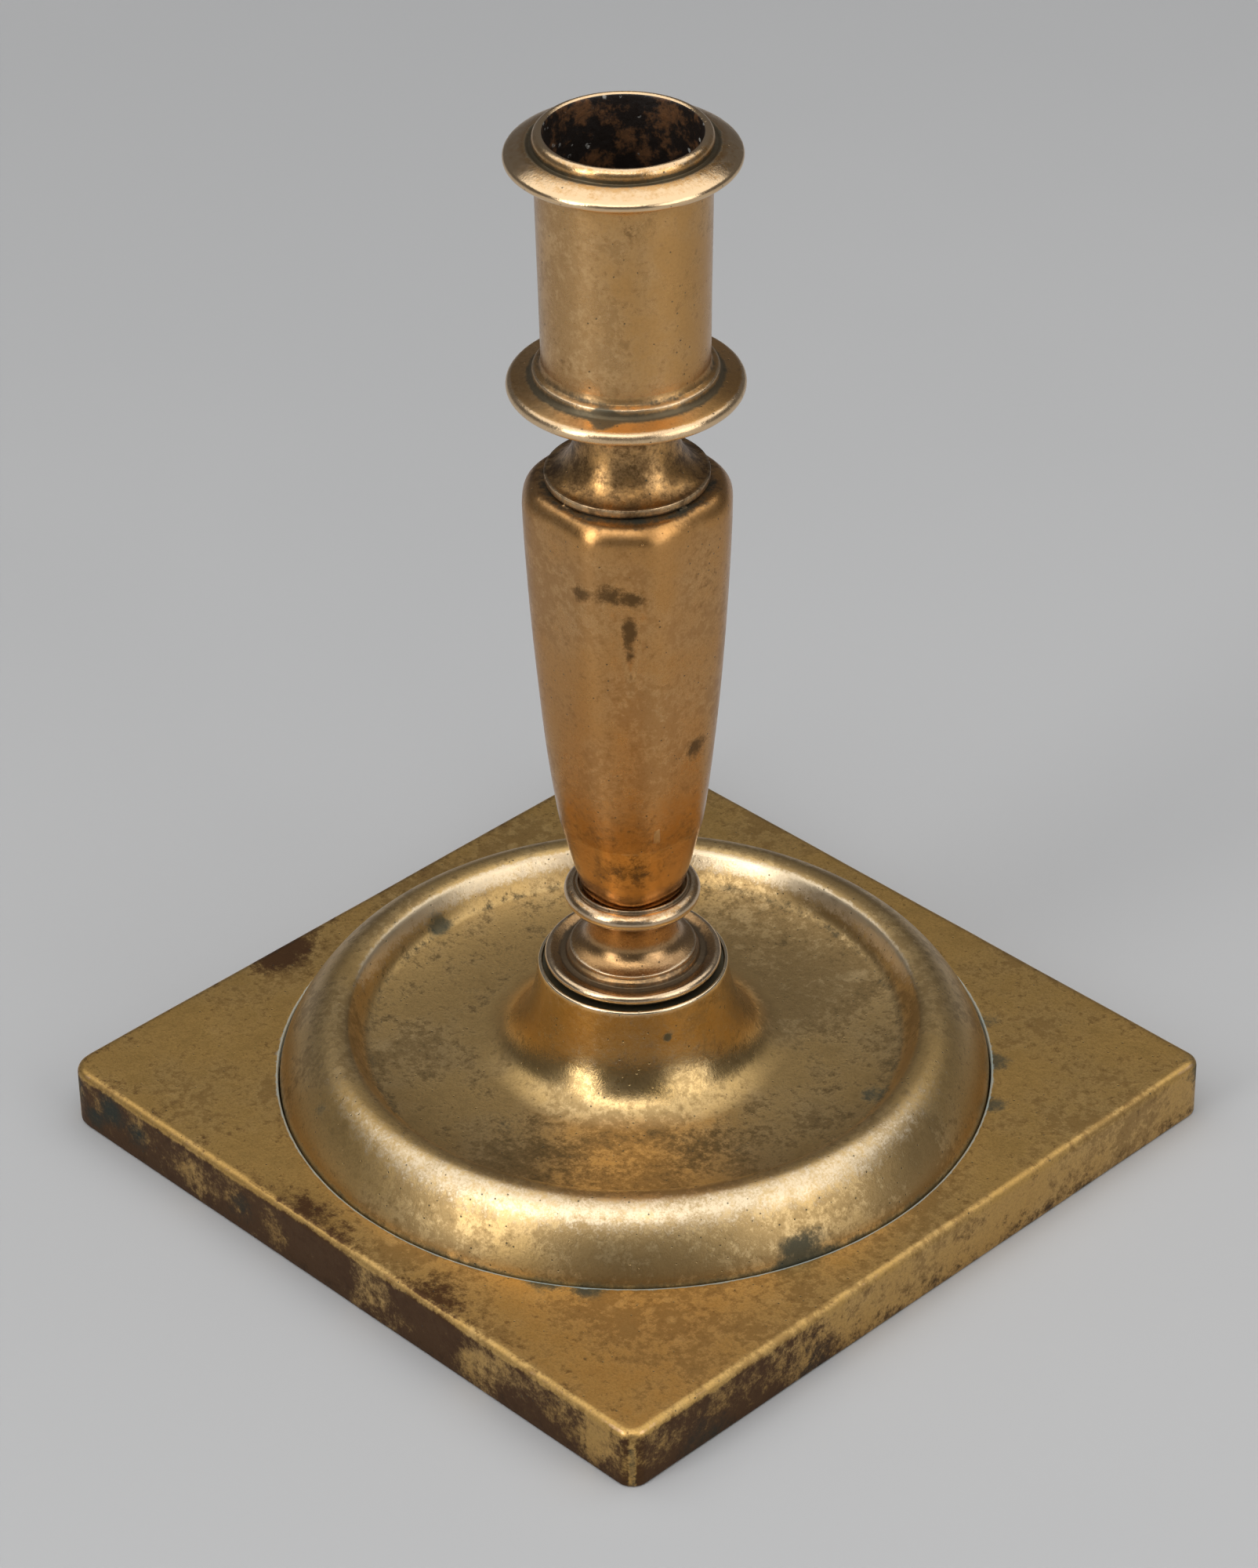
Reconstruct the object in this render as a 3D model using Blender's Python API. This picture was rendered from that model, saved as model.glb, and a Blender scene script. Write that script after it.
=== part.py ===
"""A brass candlestick: a square foot, a dished pan and a turned stem that screws to it.

Lengths are in metres and +Z is up.  The origin is the middle of the foot, on the
plane it stands on.  The stem turns about the Z axis, so every stem piece has its
origin on that axis.
"""
import math

import bmesh
import bpy

MM = 0.001

# ---- the square foot, a casting that is open below ----
FOOT_SIDE = 125.0 * MM
FOOT_HEIGHT = 10.1 * MM
FOOT_CORNER = 2.8 * MM
FOOT_TOP_ROUND = 1.3 * MM
FOOT_SOLE_ROUND = 0.5 * MM
FOOT_RIM_WALL = 4.6 * MM
FOOT_WEB = 3.1 * MM
OPENING_RADIUS = 55.25 * MM
LEDGE_RADIUS = 53.0 * MM
LEDGE_TOP = 8.1 * MM

# ---- the dished pan: bead, well and boss ----
PAN_RADIUS = 54.95 * MM
PAN_SOLE = 8.4 * MM
SEAM_HEIGHT = 10.2 * MM
CREST_RADIUS = 46.4 * MM
CREST_HEIGHT = 20.1 * MM
WELL_LIP_RADIUS = 44.0 * MM
WELL_LIP_HEIGHT = 19.5 * MM
WELL_RADIUS = 41.8 * MM
WELL_DEPTH_HEIGHT = 14.3 * MM
PAN_WALL = 2.7 * MM
BOSS_FOOT_RADIUS = 23.5 * MM
COLLAR_RADIUS = 14.55 * MM
COLLAR_HEIGHT = 30.0 * MM
SEAT_RADIUS = 13.95 * MM
SEAT_HEIGHT = 29.4 * MM
BOSS_BORE = 4.35 * MM
PAD_HEIGHT = 24.0 * MM
PAD_RADIUS = 11.0 * MM

# ---- the stem spool: foot flange, waist, ring, tenon and spigot ----
SPOOL_SOLE = 29.7 * MM
SPOOL_FLANGE = 13.5 * MM
SPOOL_FLANGE_UNDER = 30.3 * MM
SPOOL_FLANGE_TOP = 31.9 * MM
SPOOL_BEAD = 9.65 * MM
SPOOL_BEAD_HEIGHT = 33.1 * MM
WAIST_RADIUS = 6.7 * MM
WAIST_HEIGHT = 36.8 * MM
RING_MIDDLE = 8.95 * MM
RING_ROUND = 1.43 * MM
RING_HEIGHT = 42.8 * MM
RING_LIP = 8.65 * MM
BALUSTER_SEAT = 43.6 * MM
TENON_RADIUS = 4.0 * MM
THREAD_RADIUS = 3.75 * MM
TENON_END = 15.0 * MM
SPIGOT_TOP = 62.0 * MM

# ---- the eight-sided baluster ----
FACETS = 8
FLANK_RATIO = 0.944
STEM_TWIST = math.radians(-2.3)
BALUSTER_FOOT = 43.9 * MM
BALUSTER_FOOT_RADIUS = 7.9 * MM
CREASE_HEIGHT = 56.4 * MM
CREASE_RADIUS = 10.85 * MM
SHOULDER_HEIGHT = 111.6 * MM
SHOULDER_RADIUS = 15.25 * MM
BALUSTER_TOP = 114.8 * MM
BALUSTER_BORE = 4.35 * MM
BALUSTER_MOUTH = 6.35 * MM
BALUSTER_WALL = 3.0 * MM

# ---- the small plug that fills the hole left by the core pin ----
PLUG_WIDTH = 1.1 * MM
PLUG_HEIGHT = 2.6 * MM
PLUG_GAP = 0.15 * MM
PLUG_LEVEL = 59.6 * MM
PLUG_TURN = math.radians(-25.0)
PLUG_LENGTH = 3.2 * MM

# ---- the candle socket: neck, two flanges and the tube ----
SOCKET_SOLE = 115.1 * MM
DISC_RADIUS = 12.0 * MM
NECK_RADIUS = 7.5 * MM
NECK_HEIGHT = 123.5 * MM
LOW_FLANGE = 17.15 * MM
LOW_FLANGE_UNDER = 129.7 * MM
LOW_FLANGE_TOP = 131.9 * MM
FILLET_RADIUS = 13.5 * MM
FILLET_HEIGHT = 133.6 * MM
TUBE_FOOT_RADIUS = 12.1 * MM
TUBE_HEAD_RADIUS = 12.55 * MM
TOP_FLANGE = 16.8 * MM
TOP_FLANGE_UNDER = 166.0 * MM
TOP_FLANGE_TOP = 167.6 * MM
LIP_RADIUS = 12.75 * MM
LIP_HEIGHT = 169.3 * MM
SOCKET_TOP = 170.5 * MM
BORE_RADIUS = 11.2 * MM
BORE_FLOOR = 134.0 * MM
SOCKET_SPIGOT = 6.0 * MM
SOCKET_SPIGOT_END = 99.0 * MM

# ---- the washer and nut below the boss ----
WASHER_RADIUS = 9.0 * MM
WASHER_BORE = 4.1 * MM
WASHER_TOP = 23.7 * MM
WASHER_UNDER = 22.3 * MM
NUT_SIDE = 12.0 * MM
NUT_BORE = 4.05 * MM
NUT_TOP = 22.0 * MM
NUT_UNDER = 16.6 * MM

PAN_STEPS = 64
SOCKET_STEPS = 48
SPOOL_STEPS = 40
BALUSTER_STEPS = 48


def clear_objects():
    """Empty the scene."""
    for item in list(bpy.data.objects):
        bpy.data.objects.remove(item, do_unlink=True)


def metal(name, colour, roughness):
    """Make one brass finish."""
    material = bpy.data.materials.new(name)
    material.use_nodes = True
    shader = material.node_tree.nodes["Principled BSDF"]
    shader.inputs["Base Color"].default_value = (*colour, 1.0)
    shader.inputs["Metallic"].default_value = 1.0
    shader.inputs["Roughness"].default_value = roughness
    return material


def bend(start, first, second, end, steps):
    """Points of a smooth bend between two points, without its first point."""
    points = []
    for index in range(1, steps + 1):
        t = index / steps
        s = 1.0 - t
        weights = (s * s * s, 3.0 * s * s * t, 3.0 * s * t * t, t * t * t)
        corners = (start, first, second, end)
        radius = sum(w * c[0] for w, c in zip(weights, corners))
        height = sum(w * c[1] for w, c in zip(weights, corners))
        points.append((radius, height))
    return points


def round_edge(centre, radius, first, last, steps):
    """Points of a circular arc in the profile plane; angles in degrees."""
    points = []
    for index in range(steps + 1):
        angle = math.radians(first + (last - first) * index / steps)
        points.append((centre[0] + radius * math.cos(angle), centre[1] + radius * math.sin(angle)))
    return points


def add_object(name, mesh, material):
    """Put a finished mesh in the scene under its part name."""
    item = bpy.data.objects.new(name, mesh)
    bpy.context.scene.collection.objects.link(item)
    item.data.materials.append(material)
    return item


def smooth_by_angle(mesh, degrees):
    """Shade round faces smooth and keep the crisp edges."""
    for polygon in mesh.polygons:
        polygon.use_smooth = True
    mesh.set_sharp_from_angle(angle=math.radians(degrees))


def turn(name, profile, steps, closed, material):
    """Turn a profile of (radius, height) points about the Z axis into a solid piece."""
    shape = bmesh.new()
    points = [shape.verts.new((radius, 0.0, height)) for radius, height in profile]
    lines = [shape.edges.new(pair) for pair in zip(points, points[1:])]
    if closed:
        lines.append(shape.edges.new((points[-1], points[0])))
    bmesh.ops.spin(
        shape,
        geom=points + lines,
        cent=(0.0, 0.0, 0.0),
        axis=(0.0, 0.0, 1.0),
        angle=2.0 * math.pi,
        steps=steps,
        use_merge=True,
        use_duplicate=False,
    )
    bmesh.ops.remove_doubles(shape, verts=shape.verts, dist=1e-6)
    bmesh.ops.recalc_face_normals(shape, faces=shape.faces)
    mesh = bpy.data.meshes.new(name)
    shape.to_mesh(mesh)
    shape.free()
    smooth_by_angle(mesh, 32.0)
    return add_object(name, mesh, material)


def rounded_block(name, side, low, high, corner, top_round, low_round, material):
    """A square block with rounded upright corners, its top and sole edges eased."""
    shape = bmesh.new()
    bmesh.ops.create_cube(shape, size=1.0)
    bmesh.ops.scale(shape, vec=(side, side, high - low), verts=shape.verts)
    bmesh.ops.translate(shape, vec=(0.0, 0.0, 0.5 * (low + high)), verts=shape.verts)
    upright = [e for e in shape.edges if abs(e.verts[0].co.z - e.verts[1].co.z) > 0.5 * (high - low)]
    if corner > 0.0:
        bmesh.ops.bevel(shape, geom=upright, offset=corner, segments=4, profile=0.5, affect="EDGES")
    for level, ease in ((high, top_round), (low, low_round)):
        if ease > 0.0:
            ring = [e for e in shape.edges if all(abs(v.co.z - level) < 1e-7 for v in e.verts)]
            bmesh.ops.bevel(shape, geom=ring, offset=ease, segments=3, profile=0.5, affect="EDGES")
    bmesh.ops.recalc_face_normals(shape, faces=shape.faces)
    mesh = bpy.data.meshes.new(name)
    shape.to_mesh(mesh)
    shape.free()
    smooth_by_angle(mesh, 32.0)
    return add_object(name, mesh, material)


def make_cutter(item):
    """Keep a shape out of the finished model and use it only to cut."""
    item.hide_render = True
    item.display_type = "WIRE"
    return item


def cut(item, cutter):
    """Take the cutter's shape out of a piece."""
    tool = item.modifiers.new("Cut", "BOOLEAN")
    tool.operation = "DIFFERENCE"
    tool.solver = "EXACT"
    tool.object = make_cutter(cutter)


def round_cutter(name, radius, low, high, material):
    """A plain round cutter on the Z axis."""
    profile = [(0.0, high), (radius, high), (radius, low), (0.0, low)]
    return turn(name, profile, PAN_STEPS, False, material)


def square_foot(material):
    """The square foot: a plate with a deep rim, a round opening and a ledge for the pan."""
    foot = rounded_block(
        "square_foot",
        FOOT_SIDE,
        0.0,
        FOOT_HEIGHT,
        FOOT_CORNER,
        FOOT_TOP_ROUND,
        FOOT_SOLE_ROUND,
        material,
    )
    inner_side = FOOT_SIDE - 2.0 * FOOT_RIM_WALL
    hollow_top = FOOT_HEIGHT - FOOT_WEB
    below = -2.0 * MM
    above = FOOT_HEIGHT + 2.0 * MM
    hollow = rounded_block(
        "foot_hollow_cutter", inner_side, below, hollow_top, 3.0 * MM, 1.2 * MM, 0.0, material
    )
    cut(foot, hollow)
    cut(foot, round_cutter("foot_opening_cutter", OPENING_RADIUS, LEDGE_TOP, above, material))
    cut(foot, round_cutter("foot_ledge_cutter", LEDGE_RADIUS, hollow_top - 2.0 * MM, above, material))
    return foot


def pan_upper_profile():
    """The pan's upper face from the seam over the bead, across the well and up the boss."""
    seam = (PAN_RADIUS, SEAM_HEIGHT)
    crest = (CREST_RADIUS, CREST_HEIGHT)
    lip = (WELL_LIP_RADIUS, WELL_LIP_HEIGHT)
    well = (WELL_RADIUS - 1.6 * MM, WELL_DEPTH_HEIGHT + 1.0 * MM)
    boss_foot = (BOSS_FOOT_RADIUS, WELL_DEPTH_HEIGHT + 0.3 * MM)
    collar = (COLLAR_RADIUS, COLLAR_HEIGHT - 0.5 * MM)
    points = [(PAN_RADIUS, PAN_SOLE), seam]
    points += bend(seam, (PAN_RADIUS - 0.9 * MM, 13.6 * MM), (49.9 * MM, CREST_HEIGHT), crest, 7)
    points += bend(crest, (45.3 * MM, CREST_HEIGHT), (44.6 * MM, 20.0 * MM), lip, 3)
    points += bend(lip, (42.6 * MM, 17.6 * MM), (42.2 * MM, 15.4 * MM), well, 4)
    points += bend(well, (36.0 * MM, 14.5 * MM), (30.0 * MM, WELL_DEPTH_HEIGHT), boss_foot, 4)
    points += bend(boss_foot, (16.6 * MM, 15.3 * MM), (15.2 * MM, 23.4 * MM), collar, 7)
    points += [(COLLAR_RADIUS - 0.35 * MM, COLLAR_HEIGHT), (SEAT_RADIUS, COLLAR_HEIGHT)]
    points += [(SEAT_RADIUS, SEAT_HEIGHT)]
    points += [(BOSS_BORE + 0.4 * MM, SEAT_HEIGHT), (BOSS_BORE, SEAT_HEIGHT - 0.4 * MM)]
    return points


def pan_under_profile():
    """The pan's under face from the washer pad out to the foot ring."""
    pad = (PAD_RADIUS, PAD_HEIGHT)
    floor_start = (21.0 * MM, WELL_DEPTH_HEIGHT - PAN_WALL)
    floor_end = (38.6 * MM, WELL_DEPTH_HEIGHT - PAN_WALL + 0.5 * MM)
    under_crest = (CREST_RADIUS, CREST_HEIGHT - PAN_WALL)
    foot_ring = (PAN_RADIUS - PAN_WALL, PAN_SOLE)
    points = [(BOSS_BORE, PAD_HEIGHT), pad]
    points += bend(pad, (12.4 * MM, 17.0 * MM), (13.6 * MM, 12.2 * MM), floor_start, 5)
    points += [floor_end]
    points += bend(floor_end, (40.6 * MM, 13.4 * MM), (41.6 * MM, 17.4 * MM), under_crest, 4)
    points += bend(under_crest, (49.8 * MM, 17.3 * MM), (51.6 * MM, 13.0 * MM), foot_ring, 5)
    return points


def dished_pan(material):
    """The dished pan: one turned casting with a bead, a well and a hollow boss bored for the tenon."""
    return turn("dished_pan", pan_upper_profile() + pan_under_profile(), PAN_STEPS, True, material)


def spool_tenon_profile():
    """The spool from the end of its thread up to the rim of its foot flange."""
    points = [(0.0, TENON_END), (THREAD_RADIUS - 0.7 * MM, TENON_END)]
    points += [(THREAD_RADIUS, TENON_END + 0.7 * MM)]
    points += [(THREAD_RADIUS, WASHER_TOP), (TENON_RADIUS, PAD_HEIGHT + 0.4 * MM)]
    points += [(TENON_RADIUS, SPOOL_SOLE), (SPOOL_FLANGE - 1.3 * MM, SPOOL_SOLE)]
    points += [(SPOOL_FLANGE - 0.5 * MM, SPOOL_FLANGE_UNDER)]
    return points


def spool_waist_profile():
    """The spool from its flange rim up over the bead and waist to the ring."""
    rim_round = 0.5 * (SPOOL_FLANGE_TOP - SPOOL_FLANGE_UNDER)
    rim = (SPOOL_FLANGE - rim_round, SPOOL_FLANGE_UNDER + rim_round)
    bead = (SPOOL_BEAD, SPOOL_BEAD_HEIGHT)
    waist = (WAIST_RADIUS, WAIST_HEIGHT)
    ring_foot = (RING_MIDDLE, RING_HEIGHT - RING_ROUND)
    points = round_edge(rim, rim_round, -60.0, 100.0, 4)
    points += [(11.6 * MM, 31.5 * MM), (10.3 * MM, 31.6 * MM)]
    points += [(SPOOL_BEAD, SPOOL_BEAD_HEIGHT - 0.5 * MM), bead]
    points += bend(bead, (8.0 * MM, 33.6 * MM), (WAIST_RADIUS, 34.6 * MM), waist, 4)
    points += bend(waist, (WAIST_RADIUS, 39.4 * MM), (7.3 * MM, 41.0 * MM), ring_foot, 4)
    return points


def spool_head_profile():
    """The ring, the lip that holds the baluster, its seat and the spigot."""
    points = round_edge((RING_MIDDLE, RING_HEIGHT), RING_ROUND, -60.0, 90.0, 5)
    points += [(RING_LIP, RING_HEIGHT + RING_ROUND - 0.3 * MM), (RING_LIP - 0.1 * MM, 44.5 * MM)]
    points += [(RING_LIP - 0.45 * MM, 44.5 * MM), (RING_LIP - 0.45 * MM, BALUSTER_SEAT)]
    points += [(TENON_RADIUS, BALUSTER_SEAT), (TENON_RADIUS, SPIGOT_TOP - 0.6 * MM)]
    points += [(TENON_RADIUS - 0.6 * MM, SPIGOT_TOP), (0.0, SPIGOT_TOP)]
    return points


def stem_spool(material):
    """The spool: one turned piece with a tenon below and a spigot above."""
    profile = spool_tenon_profile() + spool_waist_profile() + spool_head_profile()
    return turn("stem_spool", profile, SPOOL_STEPS, False, material)


def facet_radius(angle, flat, crispness):
    """Distance out to the baluster's outline: four wide flanks and four corner flats, softened."""
    total = 0.0
    for index in range(FACETS):
        reach = math.cos(angle - STEM_TWIST - 2.0 * math.pi * index / FACETS)
        half_width = flat if index % 2 else flat * FLANK_RATIO
        if reach > 0.0:
            total += (reach / half_width) ** crispness
    return total ** (-1.0 / crispness)


def baluster_outside():
    """Half-widths, heights and corner crispness up the outside of the baluster."""
    foot = (BALUSTER_FOOT_RADIUS, BALUSTER_FOOT)
    crease = (CREASE_RADIUS, CREASE_HEIGHT)
    shoulder = (SHOULDER_RADIUS, SHOULDER_HEIGHT)
    levels = [(foot[0], foot[1], 7.0)]
    lower = bend(foot, (8.8 * MM, 45.6 * MM), (10.0 * MM, 51.5 * MM), crease, 4)
    levels += [(r, z, 8.0 + 1.5 * index) for index, (r, z) in enumerate(lower)]
    upper = bend(crease, (12.9 * MM, 66.0 * MM), (15.0 * MM, 96.0 * MM), shoulder, 7)
    levels += [(r, z, 15.0) for r, z in upper]
    levels += [(SHOULDER_RADIUS - 0.15 * MM, 113.1 * MM, 13.0)]
    levels += [(SHOULDER_RADIUS - 0.8 * MM, 114.3 * MM, 12.0)]
    levels += [(SHOULDER_RADIUS - 2.1 * MM, BALUSTER_TOP, 11.0)]
    return levels


def baluster_inside():
    """Radii and heights down the inside of the baluster from its mouth to its foot."""
    levels = [(BALUSTER_MOUTH + 0.3 * MM, BALUSTER_TOP), (BALUSTER_MOUTH, BALUSTER_TOP - 0.3 * MM)]
    levels += [(BALUSTER_MOUTH, 110.0 * MM)]
    levels += [(SHOULDER_RADIUS - BALUSTER_WALL - 0.6 * MM, 106.0 * MM), (10.6 * MM, 90.0 * MM)]
    levels += [(8.7 * MM, 66.0 * MM), (CREASE_RADIUS - BALUSTER_WALL, 57.0 * MM)]
    levels += [(BALUSTER_BORE, 50.5 * MM), (BALUSTER_BORE, BALUSTER_FOOT)]
    return levels


def ring_of_points(shape, angles, reaches, height):
    """One level ring of points about the Z axis."""
    return [
        shape.verts.new((r * math.cos(a), r * math.sin(a), height)) for a, r in zip(angles, reaches)
    ]


def faceted_baluster(material):
    """The eight-sided baluster: a hollow casting, open at its mouth and bored at its foot."""
    shape = bmesh.new()
    rings = []
    angles = [2.0 * math.pi * index / BALUSTER_STEPS for index in range(BALUSTER_STEPS)]
    for flat, height, crispness in baluster_outside():
        reach = [facet_radius(angle, flat, crispness) for angle in angles]
        rings.append(ring_of_points(shape, angles, reach, height))
    for radius, height in baluster_inside():
        rings.append(ring_of_points(shape, angles, [radius] * BALUSTER_STEPS, height))
    for lower, upper in zip(rings, rings[1:] + rings[:1]):
        for index in range(BALUSTER_STEPS):
            after = (index + 1) % BALUSTER_STEPS
            shape.faces.new((lower[index], lower[after], upper[after], upper[index]))
    bmesh.ops.recalc_face_normals(shape, faces=shape.faces)
    mesh = bpy.data.meshes.new("faceted_baluster")
    shape.to_mesh(mesh)
    shape.free()
    smooth_by_angle(mesh, 24.0)
    baluster = add_object("faceted_baluster", mesh, material)
    cut(baluster, plug_block("plug_hole_cutter", PLUG_GAP, 2.0 * MM, material))
    return baluster


def plug_reach():
    """Distance from the axis to the baluster's outside at the plug."""
    levels = baluster_outside()
    for lower, upper in zip(levels, levels[1:]):
        if lower[1] <= PLUG_LEVEL <= upper[1]:
            part = (PLUG_LEVEL - lower[1]) / (upper[1] - lower[1])
            flat = lower[0] + part * (upper[0] - lower[0])
            return facet_radius(PLUG_TURN, flat, upper[2])
    return CREASE_RADIUS


def plug_block(name, grow, overrun, material):
    """A small oblong block set into the baluster's wall, pointing at the axis."""
    outer = plug_reach() + overrun
    inner = plug_reach() - PLUG_LENGTH - overrun
    shape = bmesh.new()
    bmesh.ops.create_cube(shape, size=1.0)
    size = (outer - inner, PLUG_WIDTH + 2.0 * grow, PLUG_HEIGHT + 2.0 * grow)
    bmesh.ops.scale(shape, vec=size, verts=shape.verts)
    bmesh.ops.translate(shape, vec=(0.5 * (inner + outer), 0.0, PLUG_LEVEL), verts=shape.verts)
    mesh = bpy.data.meshes.new(name)
    shape.to_mesh(mesh)
    shape.free()
    block = add_object(name, mesh, material)
    block.rotation_euler = (0.0, 0.0, PLUG_TURN)
    return block


def core_plug(material):
    """The plug that closes the core pin hole near the foot of the baluster."""
    return plug_block("core_plug", 0.0, 0.0, material)


def socket_neck_profile():
    """The socket from the end of its spigot up the neck to the lower flange."""
    disc = (DISC_RADIUS, 116.5 * MM)
    neck = (NECK_RADIUS, NECK_HEIGHT)
    under = (LOW_FLANGE - 0.8 * MM, LOW_FLANGE_UNDER)
    points = [(0.0, SOCKET_SPIGOT_END), (SOCKET_SPIGOT - 0.7 * MM, SOCKET_SPIGOT_END)]
    points += [(SOCKET_SPIGOT, SOCKET_SPIGOT_END + 0.7 * MM), (SOCKET_SPIGOT, SOCKET_SOLE)]
    points += [(DISC_RADIUS - 0.3 * MM, SOCKET_SOLE), (DISC_RADIUS, SOCKET_SOLE + 0.4 * MM), disc]
    points += bend(disc, (9.4 * MM, 117.0 * MM), (NECK_RADIUS, 119.6 * MM), neck, 5)
    points += bend(neck, (NECK_RADIUS, 126.6 * MM), (11.0 * MM, 128.3 * MM), under, 4)
    return points


def socket_tube_profile():
    """The lower flange, the tube, the top flange and the lip."""
    low_round = 0.5 * (LOW_FLANGE_TOP - LOW_FLANGE_UNDER)
    top_round = 0.5 * (TOP_FLANGE_TOP - TOP_FLANGE_UNDER)
    low_rim = (LOW_FLANGE - low_round, LOW_FLANGE_UNDER + low_round)
    top_rim = (TOP_FLANGE - top_round, TOP_FLANGE_UNDER + top_round)
    points = round_edge(low_rim, low_round, -70.0, 70.0, 4)
    points += [(FILLET_RADIUS, FILLET_HEIGHT - 0.9 * MM), (FILLET_RADIUS - 0.2 * MM, FILLET_HEIGHT)]
    points += [(TUBE_FOOT_RADIUS + 0.3 * MM, FILLET_HEIGHT + 0.3 * MM)]
    points += [(TUBE_FOOT_RADIUS, FILLET_HEIGHT + 1.0 * MM)]
    points += [(TUBE_FOOT_RADIUS + 0.15 * MM, 146.0 * MM), (TUBE_HEAD_RADIUS, 162.8 * MM)]
    points += [(TUBE_HEAD_RADIUS + 1.2 * MM, 165.2 * MM)]
    points += round_edge(top_rim, top_round, -70.0, 70.0, 4)
    points += [(LIP_RADIUS + 0.9 * MM, LIP_HEIGHT - 1.0 * MM)]
    points += [(LIP_RADIUS - 0.2 * MM, LIP_HEIGHT - 0.8 * MM)]
    lip = (LIP_RADIUS, LIP_HEIGHT)
    points += bend(lip, (LIP_RADIUS, 170.1 * MM), (12.2 * MM, SOCKET_TOP), (11.6 * MM, SOCKET_TOP), 3)
    return points


def socket_bore_profile():
    """The candle bore from its mouth down to its floor."""
    points = [(BORE_RADIUS, SOCKET_TOP - 0.5 * MM)]
    points += [(BORE_RADIUS - 0.2 * MM, 150.0 * MM), (BORE_RADIUS - 0.3 * MM, BORE_FLOOR + 1.2 * MM)]
    points += [(BORE_RADIUS - 1.5 * MM, BORE_FLOOR), (0.0, BORE_FLOOR)]
    return points


def candle_socket(material):
    """The candle socket: one turned casting with its neck, flanges, tube and bore."""
    profile = socket_neck_profile() + socket_tube_profile() + socket_bore_profile()
    return turn("candle_socket", profile, SOCKET_STEPS, False, material)


def clamp_washer(material):
    """The round washer between the boss and the nut."""
    ease = 0.25 * MM
    profile = [(WASHER_BORE, WASHER_TOP), (WASHER_RADIUS - ease, WASHER_TOP)]
    profile += [(WASHER_RADIUS, WASHER_TOP - ease)]
    profile += [(WASHER_RADIUS, WASHER_UNDER + ease), (WASHER_RADIUS - ease, WASHER_UNDER)]
    profile += [(WASHER_BORE, WASHER_UNDER)]
    return turn("clamp_washer", profile, SPOOL_STEPS, True, material)


def clamp_nut(material):
    """The square nut that draws the stem down on the boss."""
    nut = rounded_block(
        "clamp_nut", NUT_SIDE, NUT_UNDER, NUT_TOP, 0.9 * MM, 0.4 * MM, 0.8 * MM, material
    )
    cut(nut, round_cutter("nut_bore_cutter", NUT_BORE, NUT_UNDER - MM, NUT_TOP + MM, material))
    return nut


def main():
    """Build every piece of the candlestick in its place."""
    clear_objects()
    square_foot(metal("foot_brass", (0.33, 0.21, 0.085), 0.42))
    dished_pan(metal("pan_brass", (0.42, 0.27, 0.11), 0.36))
    stem_spool(metal("spool_brass", (0.36, 0.2, 0.11), 0.3))
    faceted_baluster(metal("baluster_brass", (0.55, 0.31, 0.12), 0.26))
    core_plug(metal("plug_brass", (0.5, 0.29, 0.12), 0.32))
    candle_socket(metal("socket_brass", (0.57, 0.34, 0.14), 0.26))
    clamp_washer(metal("washer_brass", (0.4, 0.27, 0.12), 0.5))
    clamp_nut(metal("nut_brass", (0.36, 0.24, 0.1), 0.52))


main()
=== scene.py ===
"""Looks of a brass candlestick: worked meshes, aged brass finishes, soft light and a camera."""

from __future__ import annotations

import logging
import math
from collections.abc import Callable, Iterable, Sequence
from dataclasses import dataclass, field
from enum import Enum

import bmesh
import bpy
from mathutils import Matrix, Vector, noise

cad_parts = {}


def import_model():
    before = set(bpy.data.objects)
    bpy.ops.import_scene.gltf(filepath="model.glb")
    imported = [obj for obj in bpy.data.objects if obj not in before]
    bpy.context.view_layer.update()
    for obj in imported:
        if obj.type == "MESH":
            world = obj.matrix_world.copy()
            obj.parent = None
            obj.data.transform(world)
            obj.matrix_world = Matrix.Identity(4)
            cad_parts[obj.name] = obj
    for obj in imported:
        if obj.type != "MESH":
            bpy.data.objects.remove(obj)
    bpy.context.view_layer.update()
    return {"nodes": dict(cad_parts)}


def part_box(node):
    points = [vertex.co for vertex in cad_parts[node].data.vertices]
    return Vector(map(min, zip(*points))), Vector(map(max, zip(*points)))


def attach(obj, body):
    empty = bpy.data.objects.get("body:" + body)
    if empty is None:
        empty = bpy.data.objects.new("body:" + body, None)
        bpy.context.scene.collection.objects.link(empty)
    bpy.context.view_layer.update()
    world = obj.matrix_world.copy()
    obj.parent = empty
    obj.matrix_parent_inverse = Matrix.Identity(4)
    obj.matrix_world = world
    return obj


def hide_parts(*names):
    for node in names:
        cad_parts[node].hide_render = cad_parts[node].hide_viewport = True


LOG = logging.getLogger("candlestick")

MM = 0.001
FULL_TURN = 2.0 * math.pi

# Outlines: degrees to a step of an arc, the turn that counts as a corner, and the
# largest share of a stretch that a rounded corner takes up.
ARC_STEP = 15.0
SHARP_TURN = math.radians(24.0)
ROUNDED_SHARE = 0.45

# How far dirt and rubbing reach from a corner, and how strong they are there.
GRIME_REACH = 0.6 * MM
WEAR_REACH = 0.45 * MM
GRIME_GAIN = 0.7
WEAR_GAIN = 0.8

# Length of the small ripples as a share of the slow waves.
RIPPLE_SHARE = 0.19

Tint = tuple[float, float, float]
Pair = tuple[float, float]
Ring = list[Vector]
Mesh = bpy.types.Mesh
Object = bpy.types.Object
Material = bpy.types.Material
Socket = bpy.types.NodeSocket


class Body(Enum):
    """The two rigid bodies of the candlestick."""

    FOOT = "foot"
    STEM = "stem"


class Layer(Enum):
    """Kinds of weathering, painted shade and painted highlight that the points of a mesh carry."""

    GRIME = "grime"
    WEAR = "wear"
    STAIN = "stain"
    RESIDUE = "residue"
    POLISH = "polish"


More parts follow.
